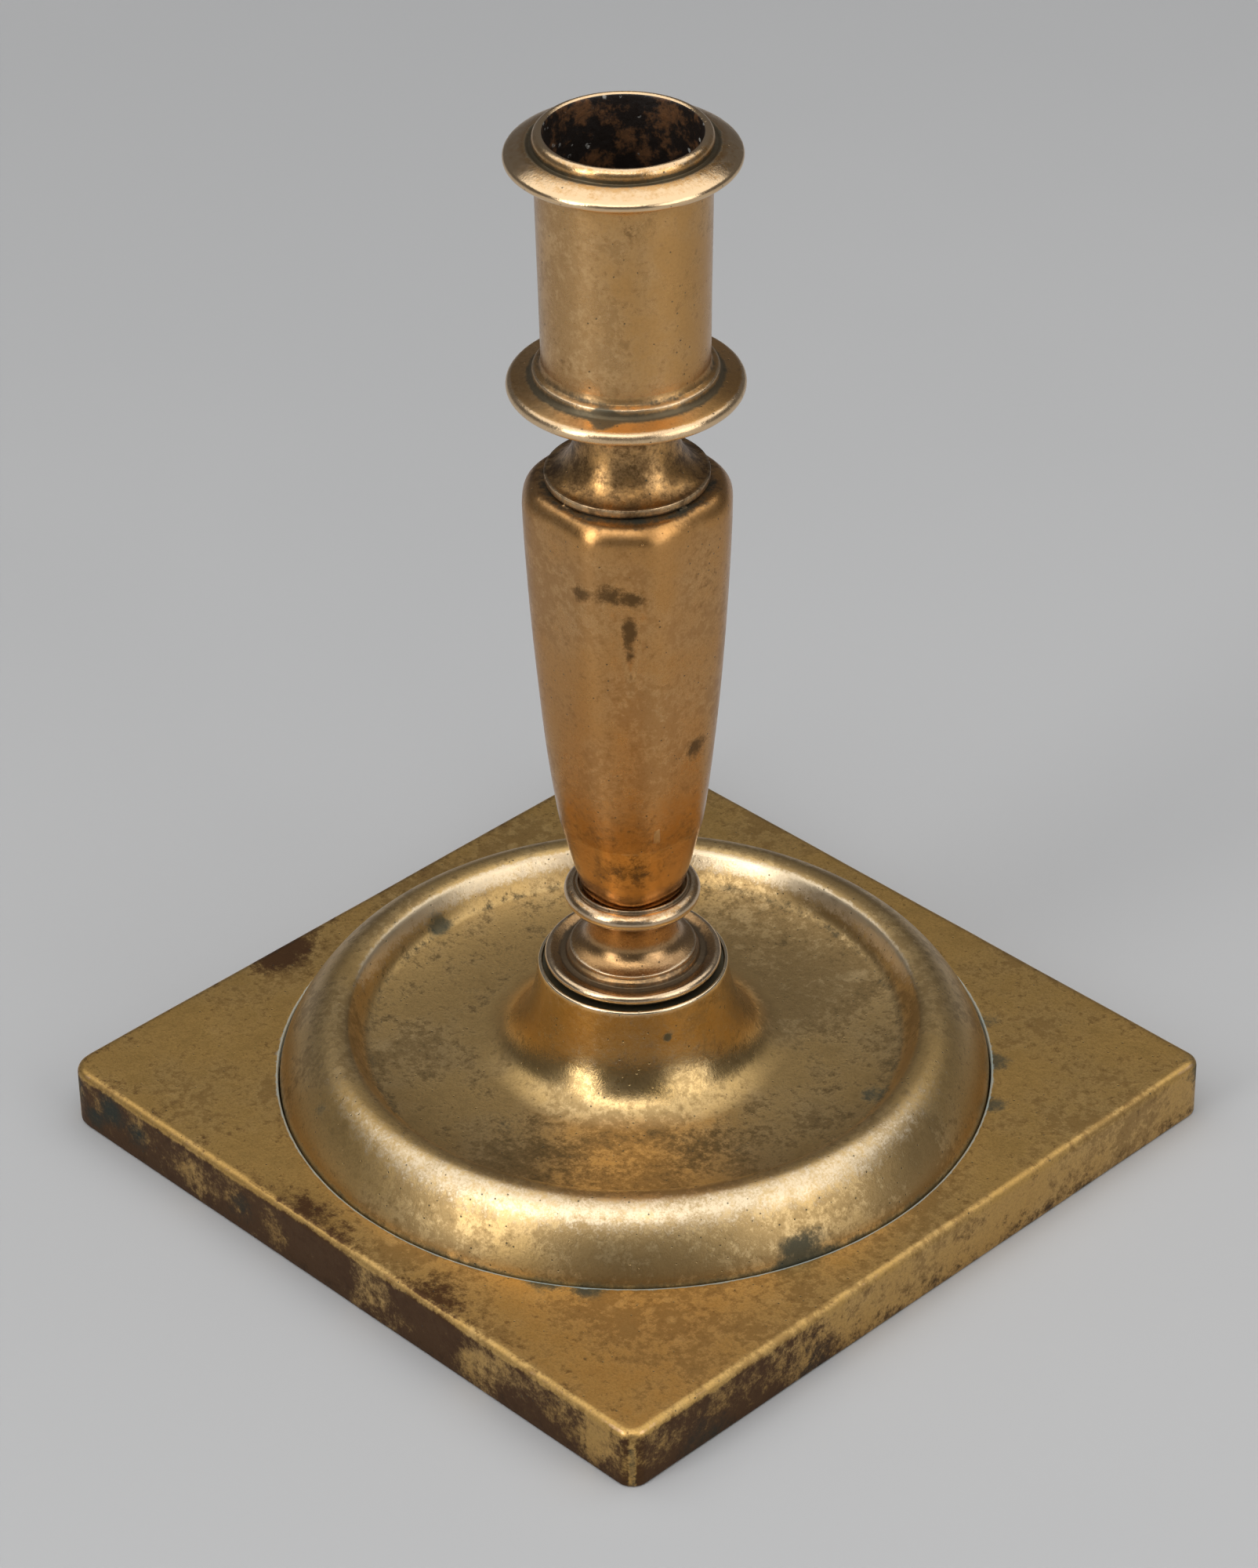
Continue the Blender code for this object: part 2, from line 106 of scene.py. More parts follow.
Weather = dict[Layer, float]


def clamp(value: float, low: float = 0.0, high: float = 1.0) -> float:
    """Hold a value between two limits."""
    return max(low, min(high, value))


def ease(value: float) -> float:
    """Smooth step from 0 to 1."""
    part = clamp(value)
    return part * part * (3.0 - 2.0 * part)


def near(value: float, middle: float, reach: float) -> float:
    """1 at a middle value, falling to 0 at a reach from it."""
    return ease(1.0 - abs(value - middle) / reach)


def mm(*lengths: float) -> Vector:
    """A place given in millimetres."""
    return Vector(lengths) * MM


def turned_place(spot: Vector) -> Pair:
    """Radius and height of a place, in millimetres."""
    return math.hypot(spot.x, spot.y) / MM, spot.z / MM


def turn_between(first: Vector, second: Vector) -> float:
    """Signed angle from one plane direction to the next, left turns counted as positive."""
    cross = first.x * second.y - first.y * second.x
    return math.atan2(cross, first.dot(second))


# ---------------------------------------------------------------- outlines


@dataclass
class Outline:
    """A turned outline as (radius, height) points, with the metal on its left hand.

    Attributes:
        points: radius and height of each point, in metres.
    """

    points: list[Pair] = field(default_factory=list)

    def at(self, radius: float, height: float) -> Outline:
        """Add one point, in millimetres."""
        self.points.append((radius * MM, height * MM))
        return self

    def bend(self, first: Pair, second: Pair, end: Pair, steps: int = 14) -> Outline:
        """Add a smooth bend from the last point.

        Args:
            first: handle of the last point, in millimetres.
            second: handle of the end point, in millimetres.
            end: where the bend ends, in millimetres.
            steps: how many points the bend gets.

        Returns:
            This outline.
        """
        start = self.points[-1]
        corners = [start] + [(r * MM, z * MM) for r, z in (first, second, end)]
        for index in range(1, steps + 1):
            t = index / steps
            s = 1.0 - t
            weights = (s * s * s, 3.0 * s * s * t, 3.0 * s * t * t, t * t * t)
            radius = sum(w * c[0] for w, c in zip(weights, corners))
            height = sum(w * c[1] for w, c in zip(weights, corners))
            self.points.append((radius, height))
        return self

    def arc(self, centre: Pair, radius: float, first: float, last: float) -> Outline:
        """Add a circular arc.

        Args:
            centre: centre of the arc, in millimetres.
            radius: its radius, in millimetres.
            first: starting angle, in degrees.
            last: ending angle, in degrees.

        Returns:
            This outline.
        """
        steps = max(3, round(abs(last - first) / ARC_STEP))
        for index in range(steps + 1):
            angle = math.radians(first + (last - first) * index / steps)
            self.at(centre[0] + radius * math.cos(angle), centre[1] + radius * math.sin(angle))
        return self

    def eased(self, amount: float) -> Outline:
        """Round the sharp corners off.

        Args:
            amount: how far from a corner the rounding starts, in metres.

        Returns:
            A new outline whose corners are small bends.
        """
        made = [self.points[0]]
        for before, here, after in zip(self.points, self.points[1:], self.points[2:]):
            back = Vector(before) - Vector(here)
            ahead = Vector(after) - Vector(here)
            if abs(turn_between(-back, ahead)) < SHARP_TURN:
                made.append(here)
                continue
            start, end = (
                Vector(here) + way.normalized() * min(amount, ROUNDED_SHARE * way.length)
                for way in (back, ahead)
            )
            for t in (0.0, 0.25, 0.5, 0.75, 1.0):
                bent = start.lerp(Vector(here), t).lerp(Vector(here).lerp(end, t), t)
                made.append((bent.x, bent.y))
        made.append(self.points[-1])
        return Outline(made)

    def evened(self, pitch: float) -> Outline:
        """Split long stretches.

        Args:
            pitch: the longest stretch that is left whole, in metres.

        Returns:
            A new outline with the same shape and more points.
        """
        made = [self.points[0]]
        for before, here in zip(self.points, self.points[1:]):
            parts = max(1, math.ceil(math.dist(before, here) / pitch))
            for index in range(1, parts + 1):
                spot = Vector(before).lerp(Vector(here), index / parts)
                made.append((spot.x, spot.y))
        return Outline(made)

    def then(self, other: Outline) -> Outline:
        """This outline followed by another one."""
        return Outline(self.points + other.points)

    def weather(self) -> list[Pair]:
        """Work out where grime settles and where the metal is rubbed.

        Returns:
            For each point its grime, from hollow corners, and its wear, from proud ones.
        """
        travel = [0.0]
        for before, here in zip(self.points, self.points[1:]):
            travel.append(travel[-1] + math.dist(before, here))
        turns = [0.0]
        for before, here, after in zip(self.points, self.points[1:], self.points[2:]):
            arriving = Vector(here) - Vector(before)
            turns.append(turn_between(arriving, Vector(after) - Vector(here)))
        turns.append(0.0)
        made = []
        for spot in travel:
            grime = wear = 0.0
            for other, turned in zip(travel, turns):
                gap = abs(other - spot)
                if gap < GRIME_REACH * 3.0:
                    grime += max(0.0, -turned) * math.exp(-((gap / GRIME_REACH) ** 2))
                    wear += max(0.0, turned) * math.exp(-((gap / WEAR_REACH) ** 2))
            made.append((GRIME_GAIN * clamp(grime), WEAR_GAIN * clamp(wear)))
        return made


# ---------------------------------------------------------------- marks on the metal


@dataclass(frozen=True)
class Patch:
    """A stain, rub or deposit around one place.

    Attributes:
        layer: the weathering it adds to.
        place: its centre, in metres.
        reach: how far it goes, in metres.
        amount: its strength at the centre.
        flat: how much wider it is along the ground than upright.
    """

    layer: Layer
    place: Vector
    reach: float
    amount: float
    flat: float = 1.0

    def strength(self, spot: Vector) -> float:
        """How strong the patch is at a place.

        Args:
            spot: a place on the piece.

        Returns:
            The amount that it adds there.
        """
        gap = spot - self.place
        gap.z *= self.flat
        return self.amount * ease(1.0 - gap.length / self.reach)


@dataclass(frozen=True)
class Score:
    """A groove, nick or dent pressed into the metal along a short line.

    Attributes:
        start: one end of the line, in metres.
        end: the other end, in metres.
        width: how far from the line the metal is moved, in metres.
        depth: how deep it goes, in metres.
    """

    start: Vector
    end: Vector
    width: float
    depth: float

    def sink(self, spot: Vector) -> float:
        """How far the metal is pressed in at a place.

        Args:
            spot: a place on the metal.

        Returns:
            The depth there, in metres.
        """
        along = self.end - self.start
        length = max(along.length_squared, 1e-12)
        part = clamp((spot - self.start).dot(along) / length)
        gap = (spot - (self.start + along * part)).length
        if gap >= self.width:
            return 0.0
        return self.depth * (1.0 - (gap / self.width) ** 2) ** 2


@dataclass(frozen=True)
class HandWork:
    """The unevenness left by casting, turning and long use.

    Attributes:
        waves: height of the slow waves, in metres.
        wave_length: distance from wave to wave, in metres.
        ripple: height of the small ripples, in metres.
        seed: sets one piece's waves apart from another's.
        scores: grooves, nicks and dents.
    """

    waves: float = 0.05 * MM
    wave_length: float = 14.0 * MM
    ripple: float = 0.012 * MM
    seed: float = 0.0
    scores: Sequence[Score] = ()

    def shift(self, spot: Vector) -> float:
        """How far the surface moves along its normal at a place.

        Args:
            spot: a place on the surface.

        Returns:
            The distance, in metres, outward counted as positive.
        """
        far = Vector((self.seed, self.seed * 1.7, -self.seed))
        slow = noise.noise(spot / self.wave_length + far)
        quick = noise.noise(spot / (RIPPLE_SHARE * self.wave_length) - far)
        pressed = sum(score.sink(spot) for score in self.scores)
        return self.waves * slow + self.ripple * quick - pressed

    def apply(self, mesh: Mesh, low: Vector, high: Vector) -> None:
        """Move the points of a mesh, and keep them in the piece's box.

        Args:
            mesh: the mesh to work.
            low: lowest corner of the box.
            high: highest corner of the box.
        """
        normals = [point.normal.copy() for point in mesh.vertices]
        for point, normal in zip(mesh.vertices, normals):
            moved = point.co + normal * self.shift(point.co)
            point.co = [clamp(c, a, b) for c, a, b in zip(moved, low, high)]
        mesh.update()


@dataclass
class Weathering:
    """Weathering, painted shade and painted highlight values for all the points of one mesh."""

    values: dict[Layer, list[float]]

    @classmethod
    def clean(cls, count: int) -> Weathering:
        """No weathering yet, for so many points."""
        return cls({layer: [0.0] * count for layer in Layer})

    def add(self, mesh: Mesh, patches: Iterable[Patch]) -> None:
        """Add patches to the points of a mesh.

        Args:
            mesh: the mesh.
            patches: stains, rubs and deposits.
        """
        for patch in patches:
            held = self.values[patch.layer]
            for index, point in enumerate(mesh.vertices):
                if (point.co - patch.place).length < patch.reach * 1.01:
                    held[index] += patch.strength(point.co)

    def spread(self, mesh: Mesh, rule: Callable[[Vector], Weather]) -> None:
        """Add what a rule says for each layer at every point.

        Args:
            mesh: the mesh.
            rule: says how much of each layer to add at a place.
        """
        for index, point in enumerate(mesh.vertices):
            for layer, amount in rule(point.co).items():
                self.values[layer][index] += amount

    def store(self, mesh: Mesh) -> None:
        """Write the layers to the mesh, where the finishes read them."""
        for layer, held in self.values.items():
            mesh.attributes.new(layer.value, "FLOAT", "POINT").data.foreach_set("value", held)


# ---------------------------------------------------------------- meshes


def skin(name: str, rings: Sequence[Ring], closed: bool) -> Mesh:
    """Join rings of points into one closed skin.

    Args:
        name: name of the mesh.
        rings: rings with the same number of points, in order round the section.
        closed: True if the last ring joins the first, False if both ends get a cap.

    Returns:
        The mesh, shaded smooth, its points in ring order.
    """
    shape = bmesh.new()
    made = [[shape.verts.new(spot) for spot in ring] for ring in rings]
    count = len(rings[0])
    pairs = list(zip(made, made[1:]))
    if closed:
        pairs.append((made[-1], made[0]))
    for lower, upper in pairs:
        for index in range(count):
            after = (index + 1) % count
            shape.faces.new((lower[index], lower[after], upper[after], upper[index]))
    if not closed:
        shape.faces.new(list(reversed(made[0])))
        shape.faces.new(made[-1])
    for face in shape.faces:
        face.smooth = len(face.verts) == 4
    return mesh_of(shape, name)


def between(first: Ring, last: Ring, steps: int) -> list[Ring]:
    """Rings that lead from one ring to another, with the last one among them."""
    parts = [index / steps for index in range(1, steps + 1)]
    return [[a.lerp(b, part) for a, b in zip(first, last)] for part in parts]


def mesh_of(shape: bmesh.types.BMesh, name: str) -> Mesh:
    """Turn a shape into a mesh.

    Args:
        shape: the shape, which is used up.
        name: name of the mesh.

    Returns:
        The mesh.
    """
    mesh = bpy.data.meshes.new(name)
    shape.to_mesh(mesh)
    shape.free()
    return mesh


def place_piece(name: str, mesh: Mesh, finish: Material) -> Object:
    """Put a mesh in the scene with its finish.

    Args:
        name: name of the object.
        mesh: its mesh.
        finish: the material that it gets.

    Returns:
        The object.
    """
    piece = bpy.data.objects.new(name, mesh)
    bpy.context.scene.collection.objects.link(piece)
    mesh.materials.append(finish)
    return piece


def seat(piece: Object, node: str, body: Body) -> Object:
    """Let a piece stand for its CAD node and ride on its body.

    Args:
        piece: the finished piece.
        node: name of the CAD node that it stands for.
        body: the rigid body it moves with.

    Returns:
        The piece.
    """
    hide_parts(node)
    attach(piece, body.value)
    LOG.info("%s: %d faces, rides on %s", piece.name, len(piece.data.polygons), body.value)
    return piece


@dataclass
class Piece:
    """A piece that stands for one CAD node.

    Attributes:
        node: name of the CAD node.
        slot: name of its finish slot.
        body: the body it rides on.
        work: its unevenness.
        patches: its stains, rubs and deposits.
    """

    node: str
    slot: str
    body: Body
    work: HandWork = HandWork()
    patches: Sequence[Patch] = ()

    def build(self, finish: Material) -> Object:
        """Build the piece in its finish, in place of its CAD node."""
        raise NotImplementedError

    def weather_rule(self, spot: Vector) -> Weather:
        """Weathering to add at a place; none unless a piece says otherwise."""
        return {}

    def dress(self, piece: Object) -> None:
        """Add further finishes to a piece; none unless a piece says otherwise."""

    def complete(self, mesh: Mesh, weathering: Weathering, finish: Material) -> Object:
        """Work and weather a mesh, and let it stand for the CAD node.

        Args:
            mesh: the mesh of the piece.
            weathering: the weathering that its shape gives it.
            finish: the material that the piece gets.

        Returns:
            The finished piece.
        """
        low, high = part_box(self.node)
        self.work.apply(mesh, low, high)
        weathering.add(mesh, self.patches)
        weathering.spread(mesh, self.weather_rule)
        weathering.store(mesh)
        piece = place_piece("visual_" + self.node, mesh, finish)
        self.dress(piece)
        return seat(piece, self.node, self.body)


@dataclass
class TurnedPiece(Piece):
    """A piece turned about the upright axis.

    Attributes:
        steps: points round each ring.
        closed: True for a piece with a hole right through it.
        edge_wear: how strongly its proud edges are rubbed.
    """

    steps: int = 224
    closed: bool = False
    edge_wear: float = 1.0

    def outline(self) -> Outline:
        """The outline to turn."""
        raise NotImplementedError

    def reach(self, radius: float, height: float, angle: float) -> float:
        """Distance from the axis at an angle; round unless a piece says otherwise."""
        return radius

    def build(self, finish: Material) -> Object:
        """Turn the outline, work it and weather it.

        Args:
            finish: the material that the piece gets.

        Returns:
            The finished piece, in place of its CAD node.
        """
        outline = self.outline()
        angles = [FULL_TURN * index / self.steps for index in range(self.steps)]
        rings = []
        for radius, height in outline.points:
            reaches = [self.reach(radius, height, angle) for angle in angles]
            rings.append(
                [Vector((r * math.cos(a), r * math.sin(a), height)) for r, a in zip(reaches, angles)]
            )
        mesh = skin(self.node, rings, self.closed)
        weathering = Weathering.clean(len(mesh.vertices))
        for number, (grime, wear) in enumerate(outline.weather()):
            span = slice(number * self.steps, (number + 1) * self.steps)
            weathering.values[Layer.GRIME][span] = [grime] * self.steps
            weathering.values[Layer.WEAR][span] = [wear * self.edge_wear] * self.steps
        return self.complete(mesh, weathering, finish)


# ---------------------------------------------------------------- the pieces


@dataclass
class DishedPan(TurnedPiece):
    """The dished pan: a bead, a well and a hollow boss, all sizes in millimetres."""

    node: str = "dished_pan"
    slot: str = "pan_brass"
    body: Body = Body.FOOT
    steps: int = 320
    closed: bool = True
    edge_wear: float = 0.6
    radius: float = 54.95
    seam: float = 10.1
    crest: Pair = (46.4, 20.1)
    lip: Pair = (44.0, 19.5)
    well_edge: Pair = (40.2, 15.3)
    floor: float = 14.3
    boss_foot: float = 23.5
    collar: Pair = (14.55, 30.0)
    seat_recess: Pair = (13.95, 29.4)
    bore: float = 4.35
    pad: Pair = (11.0, 24.0)
    wall: float = 2.7

    def outline(self) -> Outline:
        """Over the bead, across the well, up the boss, down the bore and back underneath.

        Returns:
            The outline, closed on itself.
        """
        above = Outline().at(self.radius, 8.4).at(self.radius, self.seam)
        above.at(self.radius - 0.12, self.seam + 0.35)
        above.bend((self.radius - 0.9, 13.6), (49.9, self.crest[1]), self.crest, 30)
        above.bend((45.3, self.crest[1]), (44.6, 20.0), self.lip, 8)
        above.bend((42.6, 17.6), (42.2, 15.4), self.well_edge, 14)
        above.bend((36.0, 14.5), (30.0, self.floor), (self.boss_foot, self.floor + 0.3), 16)
        above.bend((16.6, 15.3), (15.2, 23.4), (self.collar[0], self.collar[1] - 0.2), 28)
        above.at(self.collar[0] - 0.18, self.collar[1])
        above.at(self.seat_recess[0], self.collar[1])
        above.at(*self.seat_recess)
        above.at(self.bore + 0.4, self.seat_recess[1])
        above.at(self.bore, self.seat_recess[1] - 0.4)
        below = Outline().at(self.bore, self.pad[1]).at(*self.pad)
        under = self.floor - self.wall
        below.bend((12.4, 17.0), (13.6, 12.2), (21.0, under), 8)
        below.at(38.6, under + 0.5)
        below.bend((40.6, 13.4), (41.6, 17.4), (self.crest[0], self.crest[1] - self.wall), 8)
        below.bend((49.8, 17.3), (51.6, 13.0), (self.radius - self.wall, 8.4), 10)
        return above.eased(0.16 * MM).evened(0.7 * MM).then(below.evened(2.2 * MM))

    def weather_rule(self, spot: Vector) -> Weather:
        """Dirt and painted shade at the bead's foot, painted shade underneath and in the bore, a
        stained well, worn metal with a painted highlight on the crest, and painted highlights on the
        far lip and the boss.

        Args:
            spot: place on the pan.

        Returns:
            How much of each kind of weathering to add there.
        """
        radius, height = turned_place(spot)
        # The underside and the bore get dark paint: painted shade under the pan and inside the boss.
        under = height < self.seam - 1.0 or (radius < 40.0 and height < self.floor - 0.4)
        # Dirt and painted shade along the seam at the bead's foot.
        foot = 0.5 * ease(1.0 - (height - self.seam) / 1.6) if radius > 50.0 else 0.0
        edge = 0.12 * near(radius, self.well_edge[0], 3.2) if height > self.floor else 0.0
        bore = 0.9 if radius < self.seat_recess[0] and height > 20.0 else 0.0
        weather = {Layer.GRIME: max(foot, edge, bore, 0.7 if under else 0.0), Layer.STAIN: 0.14}
        if height < 18.0:
            well = ease((radius - self.boss_foot + 2.0) / 4.0) * ease((self.lip[0] - radius) / 3.0)
            weather[Layer.STAIN] = 0.12 + 0.36 * well
        # Worn metal on the crest, lightened towards the front of the bead as a painted highlight; the
        # far lip and the boss get painted highlights in the wear colour.
        if height > self.seam + 2.0 and not under:
            facing = 0.22 + 0.4 * ease((spot.x - spot.y) / (60.0 * MM))
            painted_far_lip_highlight = 0.75 * near(radius, 43.4, 2.0) * ease((spot.y - spot.x) / (20.0 * MM))
            boss = 0.42 * ease((19.0 - radius) / 3.0)
            weather[Layer.WEAR] = max(facing * near(radius, 49.0, 5.5), painted_far_lip_highlight, boss)
        if height > self.floor + 0.3 and not under:
            weather[Layer.POLISH] = ease((22.0 - radius) / 3.0)
        return weather


@dataclass
class StemSpool(TurnedPiece):
    """The spool between the pan and the baluster, sizes in millimetres."""

    node: str = "stem_spool"
    slot: str = "spool_brass"
    body: Body = Body.STEM
    steps: int = 192
    flange: float = 13.5
    flange_under: float = 30.3
    flange_top: float = 31.9
    bead: Pair = (9.65, 33.1)
    waist: Pair = (6.7, 36.8)
    ring: Pair = (8.95, 42.8)
    ring_round: float = 1.43
    lip: Pair = (8.65, 44.5)
    baluster_seat: float = 43.6
    shank: float = 4.0
    thread: float = 3.75
    thread_pitch: float = 1.1
    thread_ends: Pair = (15.0, 23.7)
    top: float = 62.0

    def outline(self) -> Outline:
        """From the end of the thread up to the end of the spigot.

        Returns:
            The outline.
        """
        low, high = self.thread_ends
        made = Outline().at(0.05, low).at(self.thread - 0.7, low).at(self.thread, low + 0.7)
        made.at(self.thread, high).at(self.shank, 24.4).at(self.shank, 29.7)
        made.at(self.flange - 1.3, 29.7).at(self.flange - 0.5, self.flange_under)
        rim = 0.5 * (self.flange_top - self.flange_under)
        made.arc((self.flange - rim, self.flange_under + rim), rim, -60.0, 100.0)
        made.at(11.6, 31.55).at(11.1, 31.35).at(10.3, 31.5).at(10.1, 32.2)
        made.at(self.bead[0], self.bead[1] - 0.5).at(*self.bead)
        made.bend((8.0, 33.6), (self.waist[0], 34.6), self.waist, 12)
        foot = (self.ring[0], self.ring[1] - self.ring_round)
        made.bend((self.waist[0], 39.4), (7.3, 41.0), foot, 12)
        made.arc(self.ring, self.ring_round, -60.0, 90.0)
        made.at(self.lip[0], self.ring[1] + self.ring_round - 0.3)
        made.at(self.lip[0] - 0.1, self.lip[1]).at(self.lip[0] - 0.45, self.lip[1])
        made.at(self.lip[0] - 0.45, self.baluster_seat).at(self.shank, self.baluster_seat)
        made.at(self.shank, self.top - 0.6).at(self.shank - 0.6, self.top).at(0.05, self.top)
        return made.eased(0.12 * MM).evened(0.42 * MM)

    def reach(self, radius: float, height: float, angle: float) -> float:
        """The screw thread near the lower end, round everywhere else.

        Args:
            radius: radius of the outline, in metres.
            height: height on the axis, in metres.
            angle: angle about the axis.

        Returns:
            Distance from the axis.
        """
        low, high = (end * MM for end in self.thread_ends)
        if radius < 0.9 * self.thread * MM or not low + 0.6 * MM < height < high:
            return radius
        turns = height / (self.thread_pitch * MM) - angle / FULL_TURN
        depth = 0.34 * MM * abs(2.0 * (turns % 1.0) - 1.0)
        return radius - depth

    def weather_rule(self, spot: Vector) -> Weather:
        """Dirt in the channel inside the flange rim, painted shade on the hidden shank and under the
        flange, and a painted highlight round the ring.

        Args:
            spot: place on the spool.

        Returns:
            How much of each kind of weathering to add there.
        """
        radius, height = turned_place(spot)
        channel = 0.4 * near(radius, 11.0, 1.4) if 31.0 < height < 33.0 else 0.0
        # Painted shade on the hidden shank and under the flange.
        hidden = 0.75 if height < self.flange_under else 0.0
        # Painted highlight round the ring, in the wear colour.
        ring = 0.55 * near(height, self.ring[1], 1.5) if radius > 8.6 else 0.0
        grime = max(channel, hidden)
        return {Layer.GRIME: grime, Layer.WEAR: ring, Layer.STAIN: 0.22, Layer.POLISH: 0.35}


@dataclass
class FacetedBaluster(TurnedPiece):
    """The eight-sided baluster, sizes in millimetres."""

    node: str = "faceted_baluster"
    slot: str = "baluster_brass"
    body: Body = Body.STEM
    steps: int = 256
    closed: bool = True
    facets: int = 8
    flank_ratio: float = 0.944
    twist: float = math.radians(-2.3)
    foot: Pair = (7.9, 43.9)
    crease: Pair = (10.85, 56.4)
    shoulder: Pair = (15.25, 111.6)
    top: float = 114.8
    mouth: float = 6.35
    bore: float = 4.35
    wall: float = 3.0

    def outline(self) -> Outline:
        """Half-widths up the outside and radii down the inside.

        Returns:
            The outline, closed on itself.
        """
        made = Outline().at(*self.foot)
        made.bend((8.6, 45.8), (9.85, 52.6), self.crease, 12)
        made.bend((12.6, 66.0), (15.05, 96.0), self.shoulder, 40)
        edge = self.shoulder[0]
        made.bend((edge, 112.9), (edge - 0.4, 113.9), (edge - 1.2, self.top - 0.25), 7)
        made.bend((edge - 1.6, self.top), (edge - 1.9, self.top), (edge - 2.4, self.top), 4)
        made.at(self.mouth + 0.3, self.top).at(self.mouth, self.top - 0.3)
        inside = Outline().at(self.mouth, 110.0).at(edge - self.wall - 0.6, 106.0)
        inside.at(10.6, 90.0).at(8.7, 66.0).at(self.crease[0] - self.wall, 57.0)
        inside.at(self.bore, 50.5).at(self.bore, self.foot[1])
        return made.evened(0.75 * MM).then(inside.evened(4.0 * MM))

    def crispness(self, height: float) -> float:
        """How crisp the corners are: soft at the foot, crisper along the shaft.

        Args:
            height: height on the axis, in metres.

        Returns:
            The crispness, which grows towards a sharp corner.
        """
        foot, crease = self.foot[1] * MM, self.crease[1] * MM
        shoulder, top = self.shoulder[1] * MM, self.top * MM
        if height < crease:
            return 7.0 + 5.0 * ease((height - foot) / (crease - foot))
        soft = 4.0 * ease((height - shoulder) / (top - shoulder))
        return 12.0 + 2.0 * ease((height - crease) / (shoulder - crease)) - soft

    def outer_edge(self, height: float) -> float:
        """Half-width of the outside at a height, close enough to tell the inside from it."""
        foot, top = self.foot[1] * MM, self.top * MM
        return (6.9 + 4.6 * clamp((height - foot) / (top - foot))) * MM

    def reach(self, radius: float, height: float, angle: float) -> float:
        """Eight flats outside, round inside.

        Args:
            radius: half-width of the flats, in metres.
            height: height on the axis, in metres.
            angle: angle about the axis.

        Returns:
            Distance from the axis.
        """
        if radius < self.outer_edge(height):
            return radius
        crisp = self.crispness(height)
        total = 0.0
        for index in range(self.facets):
            facing = math.cos(angle - self.twist - FULL_TURN * index / self.facets)
            half_width = radius if index % 2 else radius * self.flank_ratio
            if facing > 0.0:
                total += (facing / half_width) ** crisp
        return total ** (-1.0 / crisp)

    def weather_rule(self, spot: Vector) -> Weather:
        """Dirt round the neck, painted shade inside, a worn crease, a darker and smoother lower end.

        Args:
            spot: place on the baluster.

        Returns:
            How much of each kind of weathering to add there.
        """
        radius, height = turned_place(spot)
        over_crease = height - self.crease[1]
        # The inside of the hollow baluster is painted dark: painted shade.
        inside = radius * MM < self.outer_edge(spot.z)
        collar = 0.8 * near(radius, 12.2, 1.5) if height > 114.2 else 0.0
        foot = 0.5 * ease(1.0 - (height - self.foot[1]) / 1.2)
        low = 0.36 * ease(1.0 - over_crease / 18.0)
        return {
            Layer.GRIME: max(collar, foot, 0.8 if inside else 0.0),
            Layer.WEAR: 0.0 if inside else 0.45 * near(over_crease, 0.0, 1.0),
            Layer.STAIN: 0.46 * ease((height - 114.0) / 0.6) + 0.08 + low,
            Layer.POLISH: ease(1.0 - (over_crease - 1.0) / 12.0),
        }


